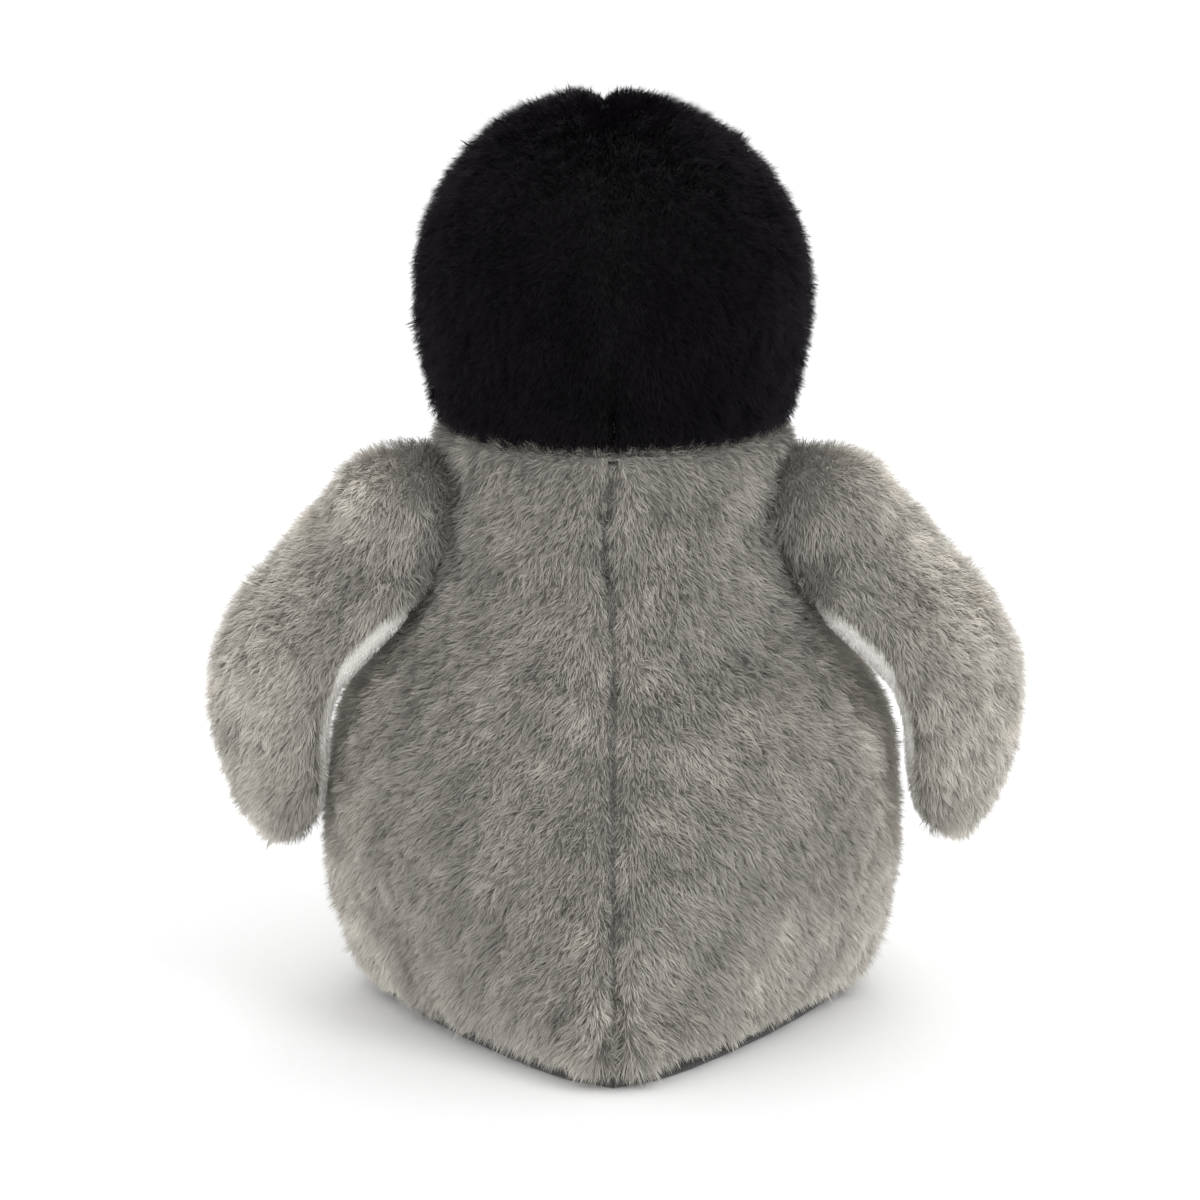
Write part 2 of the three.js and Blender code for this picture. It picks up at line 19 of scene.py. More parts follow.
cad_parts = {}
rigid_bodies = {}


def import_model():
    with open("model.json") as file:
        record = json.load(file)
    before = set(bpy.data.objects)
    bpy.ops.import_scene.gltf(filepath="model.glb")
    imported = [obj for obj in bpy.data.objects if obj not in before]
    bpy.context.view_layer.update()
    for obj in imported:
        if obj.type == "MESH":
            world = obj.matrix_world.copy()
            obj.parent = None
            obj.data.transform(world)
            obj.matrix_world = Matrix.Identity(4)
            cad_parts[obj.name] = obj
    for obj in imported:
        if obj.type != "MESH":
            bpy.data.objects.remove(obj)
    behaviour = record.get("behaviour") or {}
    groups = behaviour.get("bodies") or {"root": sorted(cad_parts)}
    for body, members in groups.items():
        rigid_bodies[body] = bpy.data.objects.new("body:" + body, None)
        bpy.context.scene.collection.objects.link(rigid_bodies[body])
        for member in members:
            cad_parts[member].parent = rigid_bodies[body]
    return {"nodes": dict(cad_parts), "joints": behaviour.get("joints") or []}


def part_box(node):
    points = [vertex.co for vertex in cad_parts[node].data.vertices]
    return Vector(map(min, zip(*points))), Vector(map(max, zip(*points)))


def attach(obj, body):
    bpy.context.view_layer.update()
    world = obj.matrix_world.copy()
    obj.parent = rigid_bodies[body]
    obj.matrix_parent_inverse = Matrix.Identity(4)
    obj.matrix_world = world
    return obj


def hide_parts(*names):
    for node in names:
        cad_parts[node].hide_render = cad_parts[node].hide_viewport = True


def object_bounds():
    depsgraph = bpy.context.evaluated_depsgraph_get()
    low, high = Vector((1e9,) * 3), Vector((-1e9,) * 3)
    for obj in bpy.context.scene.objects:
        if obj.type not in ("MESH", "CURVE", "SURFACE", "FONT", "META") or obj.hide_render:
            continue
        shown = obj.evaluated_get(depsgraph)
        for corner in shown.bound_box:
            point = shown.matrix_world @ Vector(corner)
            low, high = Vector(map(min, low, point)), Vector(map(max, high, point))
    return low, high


bl_info = {
    "name": "Plush Penguin",
    "version": (1, 0, 0),
    "blender": (4, 5, 0),
    "location": "3D View > Sidebar > Penguin",
    "description": "Builds a sitting plush penguin chick round its frame",
    "category": "Add Mesh",
}

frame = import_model()
cad_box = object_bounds()

MM = 0.001
SIDES = {"left": 1, "right": -1}
# The map that holds a fibre's tone, with the painted light and shade of its panel, across it and
# the share of its length along it.
PILE_MAP = "OFBake"
MAP_STEP = 2.5 / 1024
# How far from a seam the pile is shortened.
SEAM_REACH = 4 * MM
# Dips in an outline deeper than this are gaps between two panels.
PANEL_GAP = 0.8 * MM
HEAD_HALF_WIDTH = 51 * MM
# How far the beak's back reaches into the face, and how far the eyes sit in their pile.
ROOT_DEPTH = 4.5 * MM
EYE_SUNK = 1.3 * MM
# Levels: where the body swells below the flippers, where a flipper is fuller and flatter,
# and where its lining comes round furthest and stops.
WAIST_LEVEL = 84 * MM
FULL_LEVEL = 147 * MM
FLAT_LEVEL = 119 * MM
LINING_LEVEL = 102 * MM
ARMPIT_LEVEL = 111 * MM

# ---- Sizes and colours ----


def a_length(name, description, default):
    return FloatProperty(name=name, description=description, default=default, unit="LENGTH")


def an_angle(name, description, degrees):
    return FloatProperty(
        name=name, description=description, default=math.radians(degrees), subtype="ANGLE"
    )


def a_colour(name, description, default):
    return FloatVectorProperty(
        name=name, description=description, default=default, subtype="COLOR"
    )


class PenguinCloth(bpy.types.PropertyGroup):
    """The backing cloth of the panels and how it is stuffed."""

    thickness: a_length("Thickness", "Thickness of the backing", 1.4 * MM)
    swell: a_length("Swell", "Most the stuffing pushes a panel out", 1.8 * MM)
    seam_depth: a_length("Seam depth", "How far a seam is drawn in", 2.2 * MM)
    seam_width: a_length("Seam width", "Half width of a drawn-in seam", 3.2 * MM)


class PenguinPile(bpy.types.PropertyGroup):
    """The long pile of the grey and black plush."""

    length: a_length("Length", "Length of a fibre", 4.4 * MM)
    height: a_length("Height", "How far the combed pile stands up", 3.4 * MM)
    width: a_length("Width", "Width of a fibre at its root", 0.22 * MM)
    inset: a_length("Inset", "From the outside of the pile down to the cloth", 2.0 * MM)
    density: FloatProperty(
        name="Density", description="Fibres on a square millimetre", default=6.2, min=0.1
    )
    seed: IntProperty(name="Seed", description="Seed of the random draws", default=7)


class PenguinHandwork(bpy.types.PropertyGroup):
    """What makes this toy a little uneven, as a hand-finished one is."""

    lumps: a_length("Lumps", "Soft unevenness of the body", 0.6 * MM)
    waist: a_length("Waist", "How much fuller the flanks are below the flippers", 2.2 * MM)
    pull: a_length("Seam pull", "How far the hand-closed seam is pulled aside", 2.2 * MM)
    dimple: a_length("Dimple", "Depth of a dimple at a closing stitch", 1.6 * MM)
    notch: a_length("Notch", "Dip where the cap seams meet on the crown", 1.5 * MM)
    lean: a_length("Lean", "How far the crown leans aside", 2.2 * MM)
    hang_left: an_angle("Left hang", "How far the left flipper hangs out", 1.4)
    hang_right: an_angle("Right hang", "How far the right flipper hangs out", 0.5)
    toe_groove: a_length("Toe groove", "Depth of the grooves between the toes", 1.1 * MM)
    toe_gap: a_length("Toe gap", "From the middle of a foot to a toe groove", 5.5 * MM)


class PenguinColours(bpy.types.PropertyGroup):
    """Base colours, linear."""

    grey: a_colour("Grey", "Grey pile", (0.45, 0.43, 0.392))
    pale: a_colour("Pale", "Belly pile", (0.8, 0.785, 0.74))
    black: a_colour("Black", "Cap pile", (0.0066, 0.0047, 0.0072))
    white: a_colour("White", "Cheeks and linings", (0.9, 0.885, 0.85))
    charcoal: a_colour("Charcoal", "Feet and base cloth", (0.03, 0.028, 0.027))


class PenguinStage(bpy.types.PropertyGroup):
    """Camera and lights."""

    distance: a_length("Distance", "Camera to the middle of the toy", 1.0)
    elevation: an_angle("Elevation", "Camera above the horizon", 13)
    lens: FloatProperty(name="Lens", description="Focal length in mm", default=116.1)
    aside: a_length("Aside", "How far the view is centred beside the toy", 3.36 * MM)
    sunk: a_length("Sunk", "How far the view is centred below the toy's middle", 12 * MM)
    daylight: FloatProperty(name="Daylight", description="Strength of the studio", default=1.16)


# ---- Shader maths ----


class Value:
    """A node socket whose operators add the nodes that work them out."""

    def __init__(self, shader, socket):
        self.shader = shader
        self.socket = socket

    def _math(self, operation, *others):
        return self.shader.add(
            "ShaderNodeMath", {"operation": operation}, dict(enumerate([self, *others]))
        )

    def __add__(self, other):
        return self._math("ADD", other)

    def __sub__(self, other):
        return self._math("SUBTRACT", other)

    def __rsub__(self, other):
        return self._math("MULTIPLY", -1.0)._math("ADD", other)

    def __mul__(self, other):
        return self._math("MULTIPLY", other)

    def __pow__(self, other):
        return self._math("POWER", other)

    __radd__ = __add__
    __rmul__ = __mul__


class Shader:
    """A material under construction."""

    def __init__(self, name, **principled):
        self.material = bpy.data.materials.new(name)
        self.material.use_nodes = True
        self.tree = self.material.node_tree
        self.surface = self.tree.nodes["Principled BSDF"]
        for socket, value in principled.items():
            self.surface.inputs[socket.replace("_", " ")].default_value = value

    def add(self, kind, settings=None, inputs=None, output=0):
        node = self.tree.nodes.new(kind)
        for name, value in (settings or {}).items():
            if name == "stops":
                self._set_stops(node.color_ramp, value)
            else:
                setattr(node, name, value)
        for name, value in (inputs or {}).items():
            self._put(node.inputs[name], value)
        return Value(self, node.outputs[output])

    def _set_stops(self, ramp, stops):
        while len(ramp.elements) < len(stops):
            ramp.elements.new(1.0)
        for element, (place, colour) in zip(ramp.elements, stops, strict=True):
            element.position = place
            element.color = colour

    def _put(self, socket, value):
        if isinstance(value, Value):
            self.tree.links.new(value.socket, socket)
        elif isinstance(value, tuple) and len(value) == 3 and socket.type == "RGBA":
            socket.default_value = (*value, 1.0)
        else:
            socket.default_value = value

    def feed(self, **inputs):
        for name, value in inputs.items():
            self._put(self.surface.inputs[name.replace("_", " ")], value)
        return self.material

    def mix(self, share, low, high, blend="MIX"):
        return self.add(
            "ShaderNodeMix",
            {"data_type": "RGBA", "blend_type": blend},
            {0: share, 6: low, 7: high},
            output=2,
        )

    def place(self):
        return self.add("ShaderNodeTexCoord", output=3)

    def noise(self, scale, detail=3.0, roughness=0.55, vector=None):
        inputs = {"Scale": scale, "Detail": detail, "Roughness": roughness}
        inputs["Vector"] = vector or self.place()
        return self.add("ShaderNodeTexNoise", {}, inputs)

    def weave(self, pitch):
        """Over and under threads of a plain cloth, from 0 to 1."""
        waves = []
        for direction in ("X", "Y"):
            waves.append(
                self.add(
                    "ShaderNodeTexWave",
                    {"wave_type": "BANDS", "bands_direction": direction},
                    {"Vector": self.place(), "Scale": 1 / (pitch * 3.2), "Distortion": 0.6},
                    output=1,
                )
            )
        return (waves[0] + waves[1]) * 0.5

    def bump(self, height, strength, distance):
        return self.add(
            "ShaderNodeBump", {}, {"Height": height, "Strength": strength, "Distance": distance}
        )


def kit(context):
    """The settings of the cloth, the pile and the colours."""
    scene = context.scene
    return scene.penguin_cloth, scene.penguin_pile, scene.penguin_colours


def times(colour, share):
    return tuple(channel * share for channel in colour)


def pile_material(name, colour, root_share, tip_share, bright=2.1, gloss=0.2):
    """Fibres: dark at the root, pale at the tip, each a little lighter or darker than the next.
    The darker roots are partly the fibre's own colour and partly painted shade down in the pile.
    The tone across the map also carries painted light and shade.
    """
    shader = Shader(name, Roughness=0.7, Specular_IOR_Level=gloss)
    fibre = shader.add("ShaderNodeUVMap", {"uv_map": PILE_MAP})
    split = shader.tree.nodes.new("ShaderNodeSeparateXYZ")
    shader.tree.links.new(fibre.socket, split.inputs[0])
    tone, along = Value(shader, split.outputs[0]), Value(shader, split.outputs[1])
    # Darker roots: partly the fibre's own colour, partly painted shade down among the fibres.
    body = shader.mix(along**0.8, times(colour, root_share), times(colour, tip_share))
    # Painted light and shade: the tone scales the colour from (4 - bright) / 3 up to bright.
    light = shader.mix(tone**2, ((4 - bright) / 3,) * 3, (bright,) * 3)
    return shader.feed(Base_Color=shader.mix(1.0, body, light, "MULTIPLY"))


def backing_material(name, colour):
    """The knitted backing that the pile grows from, seen only down in the seams. It is kept darker
    than its pile as painted shade down under the fibres.
    """
    shader = Shader(name, Roughness=0.95)
    patches = shader.noise(240.0)
    knit = shader.weave(0.6 * MM)
    # Painted shade: the backing is darkened to between 0.42 and 0.62 of its pile colour.
    shade = shader.mix(patches, times(colour, 0.42), times(colour, 0.62))
    return shader.feed(Base_Color=shade, Normal=shader.bump(knit, 0.5, 0.2 * MM))


def cloth_material(name, colour, pitch=0.55 * MM):
    """A plain woven cloth."""
    shader = Shader(name, Roughness=0.88, Sheen_Weight=0.2)
    knit = shader.weave(pitch)
    wear = shader.noise(55.0, 4.0)
    shade = shader.mix(wear, times(colour, 0.8), times(colour, 1.15))
    shade = shader.mix(knit, shade, times(colour, 1.3))
    return shader.feed(Base_Color=shade, Normal=shader.bump(knit, 0.6, 0.25 * MM))


def fill_material():
    """Polyester fibre fill."""
    shader = Shader("fibre_fill", Roughness=0.95)
    strands = shader.noise(900.0, 6.0, 0.7)
    shade = shader.mix(strands, (0.62, 0.62, 0.6), (0.88, 0.88, 0.86))
    return shader.feed(Base_Color=shade, Normal=shader.bump(strands, 0.7, 0.6 * MM))


def gloss_material():
    """Polished black plastic with the faintest brown in it."""
    shader = Shader("eye_gloss", Specular_IOR_Level=0.3)
    haze = shader.noise(420.0, 2.0)
    shade = shader.mix(haze, (0.004, 0.0035, 0.003), (0.011, 0.008, 0.006))
    return shader.feed(Base_Color=shade, Roughness=haze * 0.05 + 0.06)


def clear_material():
    """Milky moulded plastic."""
    shader = Shader("washer_plastic", Subsurface_Weight=0.2)
    haze = shader.noise(300.0, 3.0)
    shade = shader.mix(haze, (0.62, 0.62, 0.58), (0.74, 0.74, 0.7))
    return shader.feed(Base_Color=shade, Roughness=haze * 0.15 + 0.35)


def thread_material(name, colour):
    """Two-ply sewing thread."""
    shader = Shader(name, Roughness=0.7, Sheen_Weight=0.3)
    ply = shader.add(
        "ShaderNodeTexWave",
        {"wave_type": "BANDS", "bands_direction": "DIAGONAL"},
        {"Vector": shader.place(), "Scale": 420.0},
        output=1,
    )
    shade = shader.mix(ply, times(colour, 0.6), times(colour, 1.2))
    return shader.feed(Base_Color=shade, Normal=shader.bump(ply, 0.5, 0.1 * MM))


# ---- Reading the frame ----


def cad_triangles(names):
    """The corners of the triangles of some CAD nodes."""
    corners = []
    for name in names:
        mesh = frame["nodes"][name].data
        mesh.calc_loop_triangles()
        places = np.array([v.co for v in mesh.vertices])
        corners.append(places[np.array([t.vertices[:] for t in mesh.loop_triangles])])
    return np.concatenate(corners)


def level_outline(corners, level, count, centre=None):
    """Radii of the outer outline at a level, at even angles round its centre."""
    heights = corners[:, :, 2] - level
    crossing = (heights.min(1) < 0) & (heights.max(1) >= 0)
    tris, heights = corners[crossing], heights[crossing]
    ends = []
    for a, b in ((0, 1), (1, 2), (2, 0)):
        span = heights[:, a] - heights[:, b]
        cuts = (heights[:, a] < 0) != (heights[:, b] < 0)
        share = heights[:, a] / np.where(cuts, span, 1)
        point = tris[:, a, :2] + (tris[:, b, :2] - tris[:, a, :2]) * share[:, None]
        ends.append(np.where(cuts[:, None], point, np.nan))
    ends = np.stack(ends, 1)
    order = np.argsort(np.isnan(ends[:, :, 0]), axis=1)[:, :2]
    first = ends[np.arange(len(ends)), order[:, 0]]
    second = ends[np.arange(len(ends)), order[:, 1]]
    if centre is None:
        both = np.concatenate([first, second])
        centre = (both.min(0) + both.max(0)) / 2
    ways = circle(count)[1][:, :2]
    a, edge = first - centre, second - first
    cross = ways[:, None, 0] * edge[None, :, 1] - ways[:, None, 1] * edge[None, :, 0]
    cross = np.where(np.abs(cross) < 1e-14, 1e-14, cross)
    reach = (a[None, :, 0] * edge[None, :, 1] - a[None, :, 1] * edge[None, :, 0]) / cross
    along = (a[None, :, 0] * ways[:, None, 1] - a[None, :, 1] * ways[:, None, 0]) / cross
    hit = (along >= -1e-6) & (along <= 1 + 1e-6) & (reach > 0)
    return np.where(hit, reach, 0).max(1), centre


def without_dips(radii, drop):
    """Radii with the narrow gaps between two panels bridged."""
    near = np.stack([np.roll(radii, k) for k in (-3, -2, -1, 0, 1, 2, 3)])
    usual = np.median(near, axis=0)
    return np.where(radii < usual - drop, usual, radii)


def bridged(radii, hidden):
    """Radii with a hidden stretch filled in from both of its sides."""
    if not hidden.any() or hidden.all():
        return radii
    index = np.arange(len(radii))
    known = index[~hidden]
    return np.interp(index, known, radii[known], period=len(radii))


# ---- Meshes and numbers ----


class Form:
    """A closed net of level outlines, held as points and faces."""

    def __init__(self, rows, ends):
        self.count = len(rows[0])
        self.rings = len(rows)
        self.points = np.concatenate([*rows, np.array(ends)])
        self.faces = []
        for i in range(self.rings - 1):
            for k in range(self.count):
                j = (k + 1) % self.count
                a, b = i * self.count, (i + 1) * self.count
                self.faces.append((a + k, a + j, b + j, b + k))
        low, high = len(self.points) - 2, len(self.points) - 1
        top = (self.rings - 1) * self.count
        for k in range(self.count):
            j = (k + 1) % self.count
            self.faces.append((low, j, k))
            self.faces.append((high, top + k, top + j))

    def ring(self, index):
        index %= self.rings
        return slice(index * self.count, (index + 1) * self.count)


def new_mesh(name, points, faces):
    mesh = bpy.data.meshes.new(name)
    mesh.from_pydata(points.tolist(), [], [tuple(f) for f in faces])
    mesh.update()
    return mesh


def new_object(name, data):
    made = bpy.data.objects.new(name, data)
    bpy.context.scene.collection.objects.link(made)
    return made


def select_only(piece=None):
    for other in bpy.context.view_layer.objects:
        other.select_set(False)
    if piece:
        piece.select_set(True)
        bpy.context.view_layer.objects.active = piece


def modified(piece, kind, **settings):
    """Adds a modifier to a piece and applies it."""
    select_only(piece)
    modifier = piece.modifiers.new(kind.title(), kind)
    for name, value in settings.items():
        setattr(modifier, name, value)
    bpy.ops.object.modifier_apply(modifier=modifier.name)


def smoothed(piece, degrees):
    select_only(piece)
    bpy.ops.object.shade_smooth_by_angle(angle=math.radians(degrees))


def vectors_of(items, field):
    """One vector of each of some mesh elements."""
    values = np.empty(len(items) * 3, np.float32)
    items.foreach_get(field, values)
    return values.reshape(-1, 3).astype(float)


def points_of(mesh):
    return vectors_of(mesh.vertices, "co")


def normals_of(mesh):
    return vectors_of(mesh.vertex_normals, "vector")


def put_points(mesh, points):
    mesh.vertices.foreach_set("co", points.astype(np.float32).ravel())
    mesh.update()


def unit(vectors):
    return vectors / np.maximum(np.linalg.norm(vectors, axis=1, keepdims=True), 1e-12)


def hump(values, middle, width):
    """A smooth rise to 1 round a middle value."""
    return np.exp(-(((values - middle) / width) ** 2))


def ramp(values, start, span):
    """0 at the start, 1 from a span further on; the span may run downwards."""
    return np.clip((values - start) / span, 0, 1)


def tree_of(places):
    tree = KDTree(len(places))
    for i, place in enumerate(places):
        tree.insert(place, i)
    tree.balance()
    return tree


def circle(count):
    """Even angles, and the level unit vectors that point along them."""
    angles = np.arange(count) * 2 * np.pi / count
    return angles, np.stack([np.cos(angles), np.sin(angles), angles * 0], 1)


def drawn_in(form, depth, rims=()):
    """Points moved inwards along their normals; a rim stays at its level."""
    mesh = new_mesh("inward", form.points, form.faces)
    ways = normals_of(mesh)
    bpy.data.meshes.remove(mesh)
    for ring in rims:
        ways[form.ring(ring), 2] = 0
        ways[form.ring(ring)] = unit(ways[form.ring(ring)])
    ways[-2:] = 0
    return form.points - ways * np.reshape(depth, (-1, 1))


# ---- Stuffing and sewing ----


def nearest_panel(places, names, favour=None):
    """Which CAD node each place lies nearest to, the last one favoured by some distance."""
    gaps = []
    for name in names:
        corners = cad_triangles([name])
        tree = BVHTree.FromPolygons(
            corners.reshape(-1, 3).tolist(),
            [(3 * i, 3 * i + 1, 3 * i + 2) for i in range(len(corners))],
        )
        gaps.append([tree.find_nearest(place)[3] for place in places])
    gaps = np.array(gaps)
    if favour:
        gaps[-1] -= favour(places)
    return np.argmin(gaps, axis=0)


def stuffed(points, faces, pinned, swell, frames=14, pressure=4.0):
    """Points after a cloth simulation blows the form up between its pinned seams."""
    piece = new_object("stuffing_test", new_mesh("stuffing_test", points, faces))
    group = piece.vertex_groups.new(name="seams")
    group.add([int(i) for i in np.flatnonzero(pinned)], 1.0, "REPLACE")
    cloth = piece.modifiers.new("Cloth", "CLOTH")
    settings = cloth.settings
    settings.quality = 4
    settings.mass = 0.2
    settings.use_pressure = True
    settings.uniform_pressure_force = pressure
    settings.vertex_group_mass = group.name
    settings.effector_weights.gravity = 0
    cloth.point_cache.frame_end = frames
    scene = bpy.context.scene
    for number in range(1, frames + 1):
        scene.frame_set(number)
    graph = bpy.context.evaluated_depsgraph_get()
    moved = points_of(piece.evaluated_get(graph).data) - points
    bpy.data.objects.remove(piece)
    scene.frame_set(1)
    reach = np.linalg.norm(moved, axis=1, keepdims=True)
    return points + moved * np.minimum(1, swell / np.maximum(reach, 1e-9))


def refined(name, points, faces):
    """A mesh subdivided once with its curves kept."""
    piece = new_object(name, new_mesh(name, points, faces))
    modified(piece, "SUBSURF", levels=1, render_levels=1)
    return piece


def seam_edges(mesh, panels):
    """Vertex pairs of the edges between two panels."""
    sides = {}
    for face, panel in zip(mesh.polygons, panels, strict=True):
        for key in face.edge_keys:
            sides.setdefault(key, set()).add(int(panel))
    return np.array([key for key, found in sides.items() if len(found) > 1], int)


def smooth_seams(points, edges, rounds=10):
    """Evens out the steps that a seam takes along the net; the middle seam stays in the middle."""
    for _ in range(rounds):
        total = np.zeros_like(points)
        count = np.zeros(len(points))
        for a, b in ((0, 1), (1, 0)):
            np.add.at(total, edges[:, a], points[edges[:, b]])
            np.add.at(count, edges[:, a], 1)
        inner = count == 2
        moved = points[inner] * 0.5 + total[inner] / 2 * 0.5
        moved[np.abs(points[inner][:, 0]) < 1e-5, 0] = 0
        points[inner] = moved
    return points


class Sewn:
    """A stuffed form, split into the panels of some CAD nodes."""

    def __init__(self, name, form, names, cloth, inset, rims=(), groove=1.0, warp=None,
                 favour=None):
        faces = form.faces
        start = drawn_in(form, inset + 0.4 * cloth.swell, rims)
        panels = nearest_panel(start, names, favour)
        pinned = np.zeros(len(start), bool)
        pinned[-2:] = True
        for ring in rims:
            pinned[form.ring(ring)] = True
        for face in faces:
            if len({panels[i] for i in face}) > 1:
                pinned[list(face)] = True
        places = stuffed(start, faces, pinned, cloth.swell)
        piece = refined(name, places, faces)
        mesh = piece.data
        self.names = names
        self.panels = nearest_panel(vectors_of(mesh.polygons, "center"), names, favour)
        lids = {0: len(form.points) - 2, form.rings - 1: len(form.points) - 1}
        opened = {lids[ring % form.rings] for ring in rims}
        self.kept = np.array([not opened & set(f.vertices) for f in mesh.polygons])
        edges = seam_edges(mesh, self.panels)
        points = points_of(mesh)
        if len(edges):
            points = smooth_seams(points, edges)
        if warp:
            points = warp(points)
        self.faces = np.array([f.vertices[:] for f in mesh.polygons])
        self.seam = self._seam_gaps(points, edges)
        put_points(mesh, points)
        drawn = hump(self.seam, 0, cloth.seam_width) * cloth.seam_depth * groove
        for ring in rims:
            level = form.points[form.ring(ring), 2].mean()
            drawn *= np.clip(np.abs(points[:, 2] - level) / (7 * MM), 0.1, 1)
        points = points - normals_of(mesh) * drawn[:, None]
        put_points(mesh, points)
        self.points, self.normals = points, normals_of(mesh)
        bpy.data.objects.remove(piece)

    def _seam_gaps(self, points, edges):
        """How far each point is from the nearest seam."""
        if not len(edges):
            return np.full(len(points), 1.0)
        shares = np.linspace(0, 1, 4, endpoint=False)[None, :, None]
        ends = points[edges]
        dots = (ends[:, 0, None] * (1 - shares) + ends[:, 1, None] * shares).reshape(-1, 3)
        tree = tree_of(dots)
        return np.array([tree.find(p)[2] for p in points])

    def mirrored(self, names):
        """The same form on the other side."""
        twin = Sewn.__new__(Sewn)
        twin.names = names
        twin.panels, twin.kept, twin.seam = self.panels, self.kept, self.seam
        twin.points = self.points * (-1, 1, 1)
        twin.normals = self.normals * (-1, 1, 1)
        twin.faces = self.faces[:, ::-1]
        return twin

    def swing(self, pivot, angle):
        """Turns the whole form about a level axis through a place."""
        turn = np.array(Matrix.Rotation(angle, 3, "Y"))
        self.points = (self.points - pivot) @ turn.T + pivot
        self.normals = self.normals @ turn.T

    def panel_faces(self, node):
        return self.faces[(self.panels == self.names.index(node)) & self.kept]

    def panel(self, name, node, body, slot, material, thickness, fill):
        """One sewn panel as a closed piece of cloth."""
        faces = self.panel_faces(node)
        used, packed = np.unique(faces, return_inverse=True)
        mesh = new_mesh(name, self.points[used], packed.reshape(faces.shape))
        piece = new_object(name, mesh)
        modified(piece, "SOLIDIFY", thickness=thickness, offset=-1.0)
        smoothed(piece, 50)
        return dress(piece, material, body, node)


# ---- Pile ----


def wander(places, wavelength, seed):
    """A smooth random field from -1 to 1, a sum of waves."""
    draw = np.random.default_rng(seed)
    total = np.zeros(len(places))
    for _ in range(6):
        way = draw.normal(size=3)
        way *= 2 * np.pi / wavelength / np.linalg.norm(way) * draw.uniform(0.6, 1.6)
        total += np.sin(places @ way + draw.uniform(0, 2 * np.pi))
    return total / 3


@dataclass
class Pile:
    """What the pile of one panel is like."""

    comb: Callable
    length: float
    height: float
    width: float
    density: float
    tuft: float = 1.6 * MM
    clump: float = 0.2
    tone: Callable = None
    shape: Callable = None
    spread: float = 0.24
    under: float = 0.5
    edge: float = 0.4


def scattered(sewn, faces, density, draw):
    """Roots spread evenly over some faces: place, normal and gap to the seam of each."""
    tris = np.concatenate([faces[:, [0, 1, 2]], faces[:, [0, 2, 3]]])
    a, b, c = (sewn.points[tris[:, k]] for k in range(3))
    areas = np.linalg.norm(np.cross(b - a, c - a), axis=1) / 2
    count = int(areas.sum() / MM**2 * density)
    marks = (np.arange(count) + draw.uniform(0, 1, count)) / count * areas.sum()
    pick = np.minimum(np.searchsorted(np.cumsum(areas), marks), len(tris) - 1)
    u, v = draw.uniform(0, 1, (2, count))
    fold = u + v > 1
    u, v = np.where(fold, 1 - u, u), np.where(fold, 1 - v, v)
    weights = np.stack([1 - u - v, u, v], 1)[:, :, None]
    chosen = tris[pick]
    places = (sewn.points[chosen] * weights).sum(1)
    normals = unit((sewn.normals[chosen] * weights).sum(1))
    gaps = (sewn.seam[chosen] * weights[:, :, 0]).sum(1)
    return places, normals, gaps


def nearest_of(centres, places):
    tree = tree_of(centres)
    return np.array([tree.find(p)[1] for p in places])


def blades(rows, tone, aside, along, faces):
    """Points, triangles and map of blades that share one pattern of corners."""
    first = np.arange(len(tone))[:, None] * len(rows)
    corners = np.concatenate([first + face for face in faces])
    marks = [
        np.stack([tone + side * MAP_STEP, tone * 0 + share], 1)
        for side, share in zip(aside, along, strict=True)
    ]
    return np.stack(rows, 1).reshape(-1, 3), corners, np.stack(marks, 1).reshape(-1, 2)


def pile_mesh(name, points, corners, marks, material):
    mesh = bpy.data.meshes.new(name)
    mesh.vertices.add(len(points))
    mesh.vertices.foreach_set("co", points.astype(np.float32).ravel())
    mesh.loops.add(corners.size)
    mesh.loops.foreach_set("vertex_index", corners.astype(np.int32).ravel())
    mesh.polygons.add(len(corners))
    mesh.polygons.foreach_set("loop_start", np.arange(len(corners), dtype=np.int32) * 3)
    mesh.update(calc_edges=True)
    marks = marks[corners.ravel()].astype(np.float32)
    mesh.uv_layers.new(name=PILE_MAP).data.foreach_set("uv", marks.ravel())
    mesh.shade_smooth()
    mesh.materials.append(material)
    return mesh


